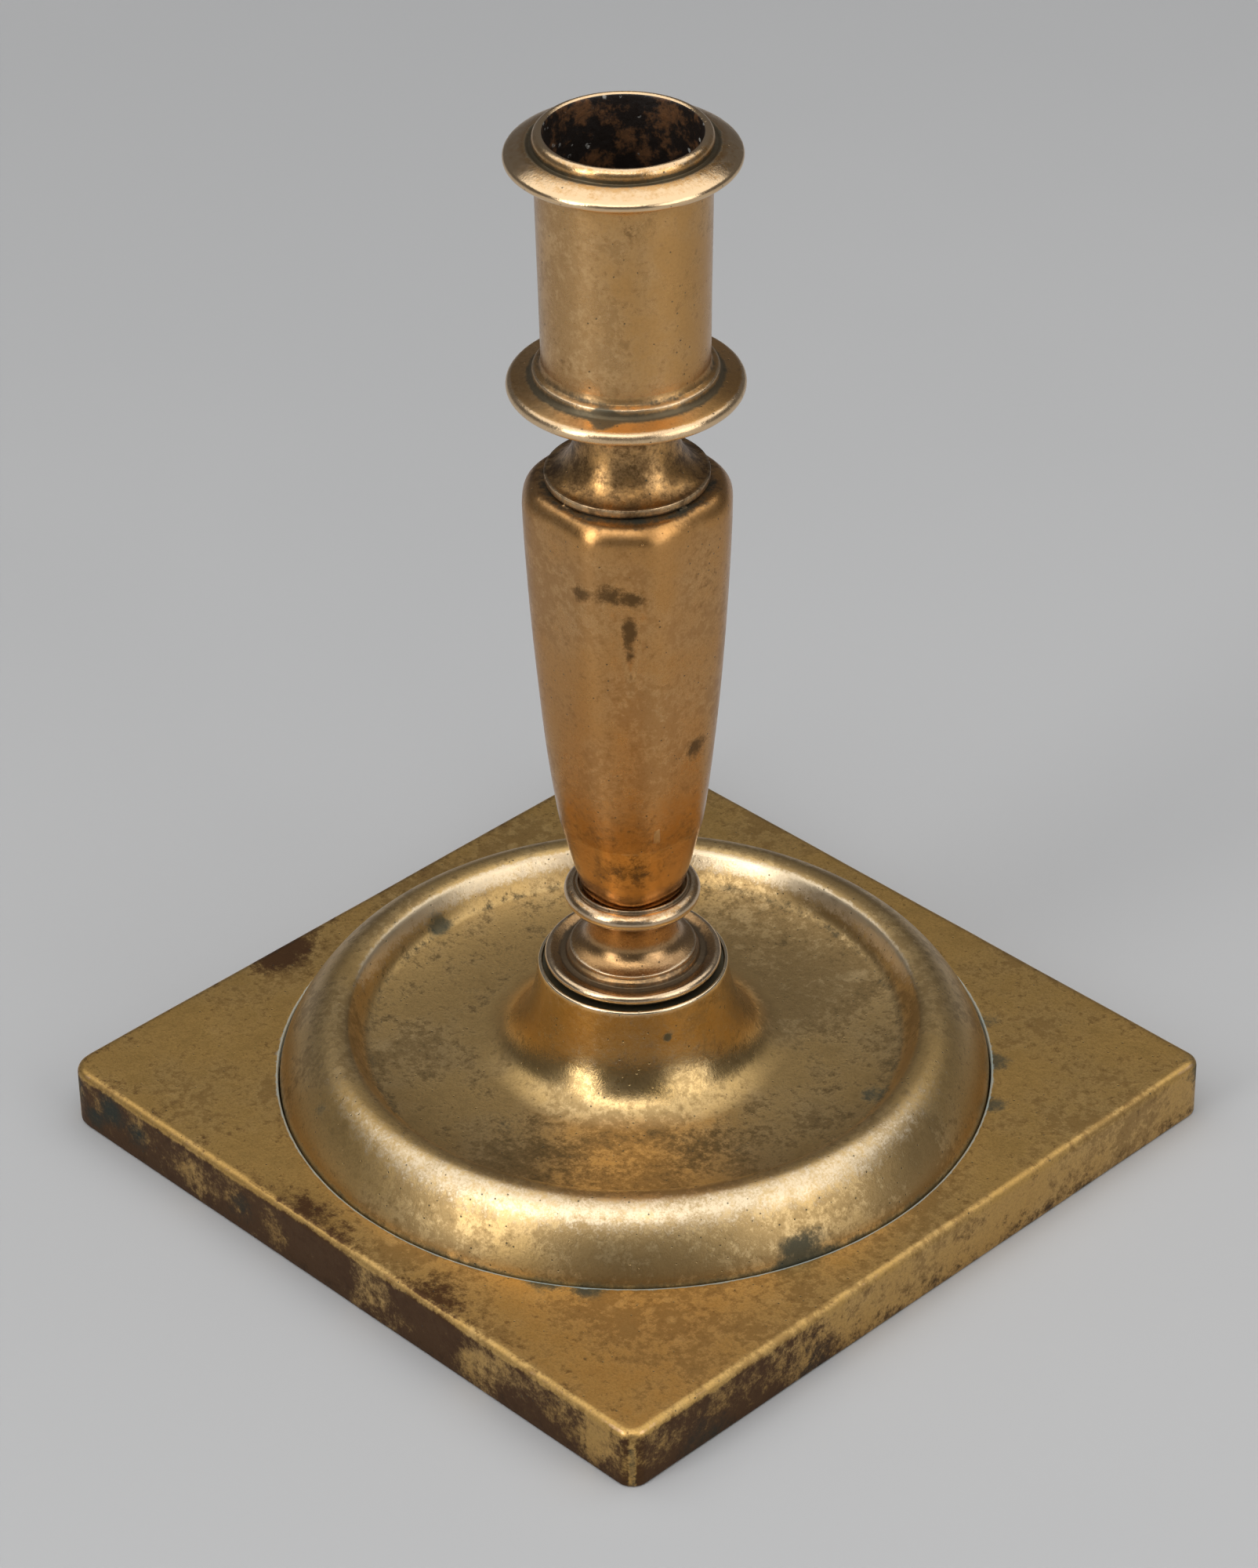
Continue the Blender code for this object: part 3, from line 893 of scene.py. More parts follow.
@dataclass
class CandleSocket(TurnedPiece):
    """The candle socket: neck, two flanges, tube, lip and bore, sizes in millimetres."""

    node: str = "candle_socket"
    slot: str = "socket_brass"
    body: Body = Body.STEM
    sole: float = 115.1
    spigot: float = 6.0
    spigot_end: float = 99.0
    disc: Pair = (12.0, 116.5)
    neck: Pair = (7.5, 123.5)
    low_flange: float = 17.15
    low_flange_levels: Pair = (129.7, 131.9)
    fillet: Pair = (13.5, 133.6)
    tube_foot: float = 12.1
    tube_head: Pair = (12.55, 162.8)
    top_flange: float = 16.8
    top_flange_levels: Pair = (166.0, 167.6)
    lip: Pair = (12.75, 169.3)
    top: float = 170.5
    bore: float = 11.2
    bore_floor: float = 134.0
    soot: Material | None = None

    def neck_outline(self) -> Outline:
        """From the end of the spigot up to the lower flange.

        Returns:
            The first part of the socket's outline.
        """
        made = Outline().at(0.05, self.spigot_end).at(self.spigot - 0.7, self.spigot_end)
        made.at(self.spigot, self.spigot_end + 0.7).at(self.spigot, self.sole)
        made.at(self.disc[0] - 0.3, self.sole).at(self.disc[0], self.sole + 0.4).at(*self.disc)
        made.at(self.disc[0] - 0.8, self.disc[1] + 0.1)
        made.bend((9.4, 117.2), (self.neck[0], 119.6), self.neck, 16)
        under = (self.low_flange - 0.8, self.low_flange_levels[0])
        return made.bend((self.neck[0], 126.6), (11.0, 128.3), under, 14)

    def flange_rim(self, radius: float, levels: Pair) -> tuple[Pair, float]:
        """Centre and radius of a flange's rounded rim."""
        rim = 0.5 * (levels[1] - levels[0])
        return (radius - rim, levels[0] + rim), rim

    def outline(self) -> Outline:
        """The whole socket, from its spigot to the floor of the bore.

        Returns:
            The outline.
        """
        made = self.neck_outline()
        centre, rim = self.flange_rim(self.low_flange, self.low_flange_levels)
        made.arc(centre, rim, -70.0, 78.0)
        made.at(self.fillet[0] + 0.3, self.fillet[1] - 1.25)
        made.at(self.fillet[0], self.fillet[1] - 0.9)
        made.at(self.fillet[0] - 0.2, self.fillet[1])
        made.at(self.tube_foot + 0.3, self.fillet[1] + 0.3)
        made.at(self.tube_foot, self.fillet[1] + 1.0)
        made.at(self.tube_foot + 0.15, 146.0).at(*self.tube_head)
        made.bend((12.6, 164.0), (13.0, 165.0), (14.2, 165.5), 6)
        centre, rim = self.flange_rim(self.top_flange, self.top_flange_levels)
        made.arc(centre, rim, -70.0, 52.0)
        made.bend((15.9, 167.85), (14.7, 168.45), (self.lip[0] + 0.85, self.lip[1] - 0.62), 8)
        made.at(self.lip[0] + 0.4, self.lip[1] - 0.85)
        made.at(self.lip[0] - 0.1, self.lip[1] - 0.8).at(*self.lip)
        made.bend((self.lip[0], 170.1), (12.2, self.top), (11.7, self.top), 6)
        made.at(self.bore + 0.05, self.top - 0.2).at(self.bore, self.top - 0.6)
        made.at(self.bore - 0.2, 150.0).at(self.bore - 0.3, self.bore_floor + 1.2)
        made.at(self.bore - 1.5, self.bore_floor).at(0.05, self.bore_floor)
        return made.eased(0.14 * MM).evened(0.5 * MM)

    def in_bore(self, spot: Vector) -> bool:
        """True below the mouth of the bore."""
        inside = math.hypot(spot.x, spot.y) < (self.bore + 0.12) * MM
        return inside and spot.z > (self.bore_floor - 0.1) * MM

    def weather_rule(self, spot: Vector) -> Weather:
        """Verdigris in the gutters of both flanges, worn rims, painted shade on the hidden spigot,
        and a neck darkened by tarnish and by painted shade under the lower flange.

        Args:
            spot: place on the socket.

        Returns:
            How much of each kind of weathering to add there.
        """
        radius, height = turned_place(spot)
        foot = 0.46 * near(radius, 13.8, 1.7) if 131.0 < height < 134.5 else 0.0
        gutter = 0.6 * near(radius, 13.35, 1.2) if height > 167.0 else 0.0
        # Painted shade on the spigot and the sole hidden in the baluster.
        hidden = 0.7 if height < self.sole + 0.2 else 0.0
        weather = {Layer.GRIME: max(foot, gutter, hidden), Layer.STAIN: 0.12}
        if self.low_flange_levels[0] < height < self.fillet[1]:
            weather[Layer.STAIN] = 0.34
        # The neck under the lower flange is darkened with tarnish and painted shade.
        elif self.sole < height < self.low_flange_levels[0]:
            weather[Layer.STAIN] = 0.7
        if height > 166.2:
            weather[Layer.WEAR] = 0.62 * ease((radius - 13.6) / 1.2)
        elif height > 130.0:
            weather[Layer.WEAR] = 0.3 * ease((radius - 16.0) / 0.8)
        if height > 135.0:
            weather[Layer.POLISH] = 0.4
        return weather

    def dress(self, piece: Object) -> None:
        """Line the bore with soot.

        Args:
            piece: the socket.
        """
        if self.soot is None:
            return
        piece.data.materials.append(self.soot)
        for face in piece.data.polygons:
            if self.in_bore(face.center):
                face.material_index = 1


def ring_section(bore: float, outer: float, levels: Pair, chamfers: Pair) -> Outline:
    """Section of a flat ring with chamfered outer edges.

    Args:
        bore: radius of its hole, in millimetres.
        outer: its outer radius, in millimetres.
        levels: its lower and upper face, in millimetres.
        chamfers: size of the lower and the upper chamfer, in millimetres.

    Returns:
        The outline, once round the section.
    """
    low, high = levels
    below, above = chamfers
    made = Outline().at(bore, low).at(outer - below, low).at(outer, low + below)
    return made.at(outer, high - above).at(outer - above, high).at(bore, high)


@dataclass
class ClampWasher(TurnedPiece):
    """The washer under the boss, sizes in millimetres."""

    node: str = "clamp_washer"
    slot: str = "washer_brass"
    body: Body = Body.STEM
    steps: int = 128
    closed: bool = True
    radius: float = 9.0
    bore: float = 4.1
    levels: Pair = (22.3, 23.7)
    chamfer: float = 0.25

    def outline(self) -> Outline:
        """Once round the washer's section."""
        chamfers = (self.chamfer, self.chamfer)
        return ring_section(self.bore, self.radius, self.levels, chamfers).evened(0.7 * MM)


@dataclass
class ClampNut(TurnedPiece):
    """The square nut that draws the stem down, sizes in millimetres."""

    node: str = "clamp_nut"
    slot: str = "nut_brass"
    body: Body = Body.STEM
    steps: int = 144
    closed: bool = True
    side: float = 12.0
    bore: float = 4.05
    levels: Pair = (16.6, 22.0)
    chamfers: Pair = (0.6, 0.4)
    crispness: float = 22.0

    def outline(self) -> Outline:
        """Once round the nut's section."""
        half = 0.5 * self.side
        return ring_section(self.bore, half, self.levels, self.chamfers).evened(0.8 * MM)

    def reach(self, radius: float, height: float, angle: float) -> float:
        """Square outside with eased corners, round in the bore.

        Args:
            radius: half-width of the flats, in metres.
            height: height on the axis, in metres.
            angle: angle about the axis.

        Returns:
            Distance from the axis.
        """
        square = ease((radius / MM - self.bore) / 1.2)
        across = abs(math.cos(angle)) ** self.crispness + abs(math.sin(angle)) ** self.crispness
        return radius * (1.0 + square * (across ** (-1.0 / self.crispness) - 1.0))


@dataclass
class SquareFoot(Piece):
    """The square foot: a plate with a deep rim and a round opening, sizes in millimetres."""

    node: str = "square_foot"
    slot: str = "foot_brass"
    body: Body = Body.FOOT
    half: float = 62.5
    height: float = 10.1
    corner: float = 2.8
    worn_corner: float = 4.4
    inner_corner: float = 3.0
    top_round: float = 1.3
    sole_round: float = 0.5
    rim_wall: float = 4.6
    web: float = 3.1
    opening: float = 55.25
    ledge: Pair = (53.0, 8.1)
    side_points: int = 84
    corner_points: int = 9
    top_rings: int = 26
    side_rings: int = 9

    def directions(self) -> list[Vector]:
        """Spread directions round the axis, closer together at the corners.

        Returns:
            The directions, one for each point of a ring.
        """
        flat = self.half - self.corner
        made = []
        for quarter in range(4):
            turned = Matrix.Rotation(quarter * 0.25 * FULL_TURN, 2)
            for index in range(self.side_points):
                along = flat * (2.0 * index / self.side_points - 1.0)
                made.append((turned @ Vector((self.half, along))).normalized())
            for index in range(self.corner_points):
                angle = 0.25 * FULL_TURN * index / self.corner_points
                arc = Vector((math.cos(angle), math.sin(angle))) * self.corner
                made.append((turned @ (Vector((flat, flat)) + arc)).normalized())
        return made

    def square_reach(self, way: Vector, half: float, corner: float) -> float:
        """Distance from the axis to a rounded square.

        Args:
            way: direction from the axis.
            half: half the side, in millimetres.
            corner: corner radius, in millimetres.

        Returns:
            The distance, in millimetres.
        """
        if way.x < 0.0 and way.y < 0.0:
            corner += self.worn_corner - self.corner
        x, y = sorted((abs(way.x), abs(way.y)), reverse=True)
        flat = half - corner
        if half * y / x <= flat:
            return half / x
        centre = Vector((flat, flat))
        along = centre.dot(Vector((x, y)))
        return along + math.sqrt(max(0.0, along * along - centre.length_squared + corner * corner))

    def square_ring(self, ways: list[Vector], half: float, corner: float, level: float) -> Ring:
        """One ring along a rounded square."""
        spots = [way * self.square_reach(way, half, corner) for way in ways]
        return [mm(spot.x, spot.y, level) for spot in spots]

    def round_ring(self, ways: list[Vector], radius: float, level: float) -> Ring:
        """One ring along a circle."""
        return [mm(way.x * radius, way.y * radius, level) for way in ways]

    def rim_rings(self, ways: list[Vector]) -> list[Ring]:
        """Rings from the inner edge of the sole up the side to the top edge.

        Args:
            ways: directions from the axis.

        Returns:
            The rings, in order.
        """
        inner = self.half - self.rim_wall
        low, high = self.sole_round, self.height - self.top_round
        quarter, sole_rings, edge_rings = 90.0, 4, 7
        steps = []
        for index in range(sole_rings):
            angle = math.radians(quarter * index / sole_rings)
            steps.append((low * (1.0 - math.sin(angle)), low * (1.0 - math.cos(angle))))
        for index in range(self.side_rings + 1):
            steps.append((0.0, low + (high - low) * index / self.side_rings))
        for index in range(1, edge_rings + 1):
            angle = math.radians(quarter * index / edge_rings)
            inset = self.top_round * (1.0 - math.cos(angle))
            steps.append((inset, high + self.top_round * math.sin(angle)))
        sole = [self.square_ring(ways, half, self.inner_corner, 0.0) for half in (inner, inner + 2.0)]
        return sole + [
            self.square_ring(ways, self.half - inset, self.corner - inset, level)
            for inset, level in steps
        ]

    def top_and_under_rings(self, ways: list[Vector]) -> list[Ring]:
        """Rings across the top, down the opening and back under the plate.

        Args:
            ways: directions from the axis.

        Returns:
            The rings, in order.
        """
        edge = self.half - self.top_round
        outer = self.square_ring(ways, edge, self.corner - self.top_round, self.height)
        inner = self.round_ring(ways, self.opening + 0.35, self.height)
        rings = between(outer, inner, self.top_rings)
        under = self.height - self.web
        shelf, shelf_level = self.ledge
        opening_wall = (
            (self.opening + 0.05, self.height - 0.06),
            (self.opening, self.height - 0.25),
            (self.opening, shelf_level),
            (shelf, shelf_level),
            (shelf, under),
        )
        rings += [self.round_ring(ways, radius, level) for radius, level in opening_wall]
        wall = self.half - self.rim_wall
        rings += between(rings[-1], self.square_ring(ways, wall - 1.0, 2.6, under), 4)
        for level in (under - 1.0, 0.5 * under):
            rings.append(self.square_ring(ways, wall, self.inner_corner, level))
        return rings

    def weather_rule(self, spot: Vector) -> Weather:
        """Worn top edges, side faces with some dirt that grow darker towards the bottom, stains along
        two edges, residue with dirt and painted shade at the seam, painted shade down the opening and
        under the plate.

        Args:
            spot: place on the foot.

        Returns:
            How much of each kind of weathering to add there.
        """
        x, y, z = spot / MM
        inward = self.half - max(abs(x), abs(y))
        seam = math.hypot(x, y) - self.opening
        ridge = near(math.hypot(max(0.0, inward), self.height - z), 0.5, 0.4)
        corner = 0.4 * ease((min(abs(x), abs(y)) - self.half + 9.0) / 9.0)
        on_side = inward < 0.5 and z < self.height - 0.9
        # Side faces: some dirt, darker towards the bottom.
        side = 0.16 + 0.14 * ease(1.0 - z / 6.0) if on_side else 0.0
        # Dirt and painted shade along the seam; the opening wall below the ledge is painted shade.
        rim = 0.36 * near(seam, 0.0, 1.8) if z > self.ledge[1] else 0.8
        # The underside of the plate is painted dark: painted shade.
        below = z < self.height - self.web + 0.2 and inward > 0.6
        if inward > 0.5:
            near_left = 0.5 * ease(1.0 - (y + self.half) / 9.0)
            stain = max(near_left, 0.5 * ease(1.0 - (x + self.half) / 8.0))
        else:
            face = 0.84 if y < -self.half + 0.6 else 0.24 + 0.6 * ease((-y + 2.0) / 46.0)
            # The side faces are darker towards the bottom.
            low = 0.25 * ease(1.0 - z / 6.0)
            stain = (face + low) * ease((self.height - 0.2 - z) / 1.2)
        return {
            Layer.WEAR: ridge * (0.42 + corner),
            Layer.GRIME: max(side, rim if seam < 1.8 else 0.0, 0.6 if below else 0.0),
            Layer.STAIN: stain,
            Layer.RESIDUE: 1.3 * near(seam, 0.0, 0.6) if z > self.height - 0.8 else 0.0,
        }

    def build(self, finish: Material) -> Object:
        """Build the foot, work it and weather it.

        Args:
            finish: the material that the foot gets.

        Returns:
            The finished foot, in place of its CAD node.
        """
        ways = self.directions()
        mesh = skin(self.node, self.rim_rings(ways) + self.top_and_under_rings(ways), True)
        return self.complete(mesh, Weathering.clean(len(mesh.vertices)), finish)


@dataclass
class CorePlug(Piece):
    """The small plug set in the wall of the baluster, sizes in millimetres.

    Attributes:
        cad: the CAD node, which gives the plug's two ends.
    """

    node: str = "core_plug"
    slot: str = "plug_brass"
    body: Body = Body.STEM
    cad: Object | None = None
    width: float = 1.1
    height: float = 2.6
    level: float = 59.6
    turn: float = math.radians(-25.0)
    corner: float = 0.22

    def build(self, finish: Material) -> Object:
        """Build the plug with eased edges.

        Args:
            finish: the material that the plug gets.

        Returns:
            The finished plug, in place of its CAD node.
        """
        outward = Matrix.Rotation(-self.turn, 4, "Z")
        reaches = [(outward @ v.co).x for v in self.cad.data.vertices]
        inner, outer = min(reaches) / MM, max(reaches) / MM
        shape = bmesh.new()
        bmesh.ops.create_cube(shape, size=1.0)
        size = (outer - inner, self.width, self.height)
        bmesh.ops.scale(shape, vec=Vector(size) * MM, verts=shape.verts)
        bmesh.ops.bevel(
            shape,
            geom=list(shape.edges),
            offset=self.corner * MM,
            segments=3,
            profile=0.5,
            affect="EDGES",
        )
        middle = mm(0.5 * (inner + outer), 0.0, self.level)
        bmesh.ops.translate(shape, vec=middle, verts=shape.verts)
        bmesh.ops.rotate(shape, matrix=Matrix.Rotation(self.turn, 3, "Z"), verts=shape.verts)
        for face in shape.faces:
            face.smooth = True
        mesh = mesh_of(shape, self.node)
        Weathering.clean(len(mesh.vertices)).store(mesh)
        piece = place_piece("visual_" + self.node, mesh, finish)
        return seat(piece, self.node, self.body)


# ---------------------------------------------------------------- finishes


class Graph:
    """Adds shading nodes to one material and joins them."""

    def __init__(self, material: Material) -> None:
        """Start on a material that holds only its shader and output.

        Args:
            material: the material.
        """
        material.use_nodes = True
        self.tree = material.node_tree
        self.shader = self.tree.nodes["Principled BSDF"]

    def add(self, kind: str, **settings: object) -> bpy.types.Node:
        """Add a node and set its options.

        Args:
            kind: the kind of node.
            settings: its options, by name.

        Returns:
            The node.
        """
        node = self.tree.nodes.new(kind)
        for name, value in settings.items():
            setattr(node, name, value)
        return node

    def feed(self, socket: Socket, source: object) -> None:
        """Join a socket to another one, or set its value.

        Args:
            socket: the socket to feed.
            source: another socket, a number or a colour.
        """
        if isinstance(source, Socket):
            self.tree.links.new(source, socket)
        elif isinstance(source, tuple) and len(source) == 3 and socket.type == "RGBA":
            socket.default_value = (*source, 1.0)
        else:
            socket.default_value = source

    def give(self, name: str, source: object) -> None:
        """Feed one of the shader's sockets."""
        self.feed(self.shader.inputs[name], source)

    def place(self) -> Socket:
        """Place on the piece, in metres."""
        return self.add("ShaderNodeTexCoord").outputs["Object"]

    def layer(self, layer: Layer) -> Socket:
        """One weathering layer of the mesh."""
        node = self.add("ShaderNodeAttribute", attribute_name=layer.value)
        return node.outputs["Fac"]

    def sum(self, *terms: object) -> Socket:
        """Add up sockets and numbers.

        Args:
            terms: what to add up.

        Returns:
            The sum.
        """
        total = terms[0]
        for term in terms[1:]:
            total = self.math("ADD", total, term)
        return total

    def times(self, first: object, second: object) -> Socket:
        """Multiply two sockets or numbers."""
        return self.math("MULTIPLY", first, second)

    def weighted(self, *terms: tuple[object, float]) -> Socket:
        """Add up sockets, each times a number."""
        return self.sum(*[self.times(socket, share) for socket, share in terms])

    def bump(self, height: Socket, relief: float) -> None:
        """Give the shader a fine relief.

        Args:
            height: the relief, from 0 to about 1.
            relief: how high 1 stands, in metres.
        """
        node = self.add("ShaderNodeBump")
        node.inputs["Distance"].default_value = relief
        self.feed(node.inputs["Height"], height)
        self.give("Normal", node.outputs["Normal"])

    def math(self, operation: str, first: object, second: object = 0.0) -> Socket:
        """One step of arithmetic on sockets or numbers.

        Args:
            operation: what to do with them.
            first: the first term.
            second: the second term.

        Returns:
            The result.
        """
        node = self.add("ShaderNodeMath", operation=operation)
        self.feed(node.inputs[0], first)
        self.feed(node.inputs[1], second)
        return node.outputs[0]

    def step(self, value: object, low: float, high: float) -> Socket:
        """Smooth step from 0 at one value to 1 at another.

        Args:
            value: a socket.
            low: the value that gives 0.
            high: the value that gives 1.

        Returns:
            The step.
        """
        node = self.add("ShaderNodeMapRange", interpolation_type="SMOOTHSTEP")
        self.feed(node.inputs["Value"], value)
        node.inputs["From Min"].default_value = low
        node.inputs["From Max"].default_value = high
        return node.outputs["Result"]

    def mix(self, amount: object, first: object, second: object) -> Socket:
        """Blend two colours.

        Args:
            amount: how much of the second colour shows, a socket or a number.
            first: the first colour.
            second: the second colour.

        Returns:
            The blended colour.
        """
        node = self.add("ShaderNodeMix", data_type="RGBA")
        self.feed(node.inputs["Factor"], amount)
        colours = [socket for socket in node.inputs if socket.type == "RGBA"]
        self.feed(colours[0], first)
        self.feed(colours[1], second)
        return [socket for socket in node.outputs if socket.type == "RGBA"][0]

    def clouds(
        self, place: object, scale: float, detail: float = 4.0, roughness: float = 0.6
    ) -> Socket:
        """Soft irregular noise around 0.5.

        Args:
            place: coordinates, in metres.
            scale: how many clouds fit in a metre.
            detail: how many finer layers it has.
            roughness: how strong the finer layers are.

        Returns:
            The noise.
        """
        node = self.add("ShaderNodeTexNoise")
        self.feed(node.inputs["Vector"], place)
        node.inputs["Scale"].default_value = scale
        node.inputs["Detail"].default_value = detail
        node.inputs["Roughness"].default_value = roughness
        return node.outputs["Fac"]

    def bent(self, place: object, scale: float, reach: float) -> Socket:
        """Coordinates bent by noise, so that round shapes come out uneven.

        Args:
            place: coordinates, in metres.
            scale: how many bends fit in a metre.
            reach: how far they go, in metres.

        Returns:
            The bent coordinates.
        """
        noisy = self.add("ShaderNodeTexNoise")
        self.feed(noisy.inputs["Vector"], place)
        noisy.inputs["Scale"].default_value = scale
        moved = self.add("ShaderNodeVectorMath", operation="MULTIPLY_ADD")
        self.feed(moved.inputs[0], noisy.outputs["Color"])
        moved.inputs[1].default_value = (reach, reach, reach)
        self.feed(moved.inputs[2], place)
        return moved.outputs["Vector"]

    def turned(self, place: object) -> Socket:
        """Coordinates that are the same all round the axis: radius, height.

        Args:
            place: coordinates, in metres.

        Returns:
            The new coordinates.
        """
        split = self.add("ShaderNodeSeparateXYZ")
        self.feed(split.inputs[0], place)
        level = self.add("ShaderNodeCombineXYZ")
        self.feed(level.inputs[0], split.outputs[0])
        self.feed(level.inputs[1], split.outputs[1])
        radius = self.add("ShaderNodeVectorMath", operation="LENGTH")
        self.feed(radius.inputs[0], level.outputs[0])
        made = self.add("ShaderNodeCombineXYZ")
        self.feed(made.inputs[0], radius.outputs["Value"])
        self.feed(made.inputs[2], split.outputs[2])
        return made.outputs[0]

    def dots(
        self, place: object, scale: float, share: float, size: float
    ) -> Socket:
        """Scattered round dots.

        Args:
            place: coordinates, in metres.
            scale: how many cells fit in a metre.
            share: share of the cells that hold a dot.
            size: radius of a dot, as a share of a cell.

        Returns:
            1 in a dot and 0 between dots.
        """
        soft_edge, chance_edge = 0.55, 0.01
        cells = self.add("ShaderNodeTexVoronoi")
        self.feed(cells.inputs["Vector"], place)
        cells.inputs["Scale"].default_value = scale
        chance = self.add("ShaderNodeSeparateColor")
        self.feed(chance.inputs[0], cells.outputs["Color"])
        chosen = self.step(chance.outputs[0], 1.0 - share, 1.0 - share + chance_edge)
        within = self.step(cells.outputs["Distance"], size, soft_edge * size)
        return self.times(chosen, within)


@dataclass(frozen=True)
class Texture:
    """The noise that a brass finish is made of.

    Attributes:
        place: coordinates on the piece, in metres.
        broad: clouds of a few centimetres.
        middle: clouds of a few millimetres.
        small: clouds of about a millimetre.
        fine: grain of less than half a millimetre.
        rings: lines that run round the axis.
        pits: small round pits.
    """

    place: Socket
    broad: Socket
    middle: Socket
    small: Socket
    fine: Socket
    rings: Socket
    pits: Socket

    @classmethod
    def sow(cls, graph: Graph, pitting: float) -> Texture:
        """Set up the noise of one material.

        Args:
            graph: the material's nodes.
            pitting: share of the surface cells that hold a pit.

        Returns:
            The noise.
        """
        place = graph.place()
        return cls(
            place,
            broad=graph.clouds(place, 34.0, 3.0, 0.55),
            middle=graph.clouds(place, 190.0, 7.0, 0.72),
            small=graph.clouds(place, 760.0, 5.0, 0.75),
            fine=graph.clouds(place, 2600.0, 3.0, 0.7),
            rings=graph.clouds(graph.turned(place), 2300.0, 3.0, 0.75),
            pits=graph.dots(place, 900.0, pitting, 0.16),
        )


@dataclass(frozen=True)
class RaggedEdge:
    """How a weathering layer comes in on the metal.

    Attributes:
        layer: the layer.
        limit: the value from which it shows.
        breakup: how ragged its edges are.
        softness: how gradually it comes in.
    """

    layer: Layer
    limit: float
    breakup: float
    softness: float

    def mask(self, graph: Graph, coarse: Socket, fine: Socket) -> Socket:
        """Turn the layer into a mask with ragged edges.

        Args:
            graph: the material's nodes.
            coarse: coarser noise for the edges.
            fine: finer noise for the edges.

        Returns:
            The mask, which stays empty where the layer is.
        """
        held = graph.layer(self.layer)
        ragged = graph.weighted((coarse, 0.6), (fine, 0.4))
        ragged = graph.times(graph.math("SUBTRACT", ragged, 0.5), self.breakup)
        shown = graph.step(graph.sum(held, ragged), self.limit, self.limit + self.softness)
        return graph.times(shown, graph.step(held, 0.0, 0.12))


STAIN_AND_SHADE_EDGE = RaggedEdge(Layer.STAIN, 0.42, 2.1, 0.5)
GRIME_AND_SHADE_EDGE = RaggedEdge(Layer.GRIME, 0.3, 1.9, 0.65)
WEAR_AND_HIGHLIGHT_EDGE = RaggedEdge(Layer.WEAR, 0.4, 1.5, 0.4)
RESIDUE_EDGE = RaggedEdge(Layer.RESIDUE, 0.4, 1.2, 0.3)


@dataclass(frozen=True)
class Finish:
    """A finish of one or more pieces.

    Attributes:
        name: name of the material, and of the slot that it fills.
    """

    name: str

    def make(self) -> Material:
        """Build the finish.

        Returns:
            The material.
        """
        material = bpy.data.materials.new(self.name)
        self.paint(Graph(material))
        return material

    def paint(self, graph: Graph) -> None:
        """Join the shading nodes of the finish."""
        raise NotImplementedError


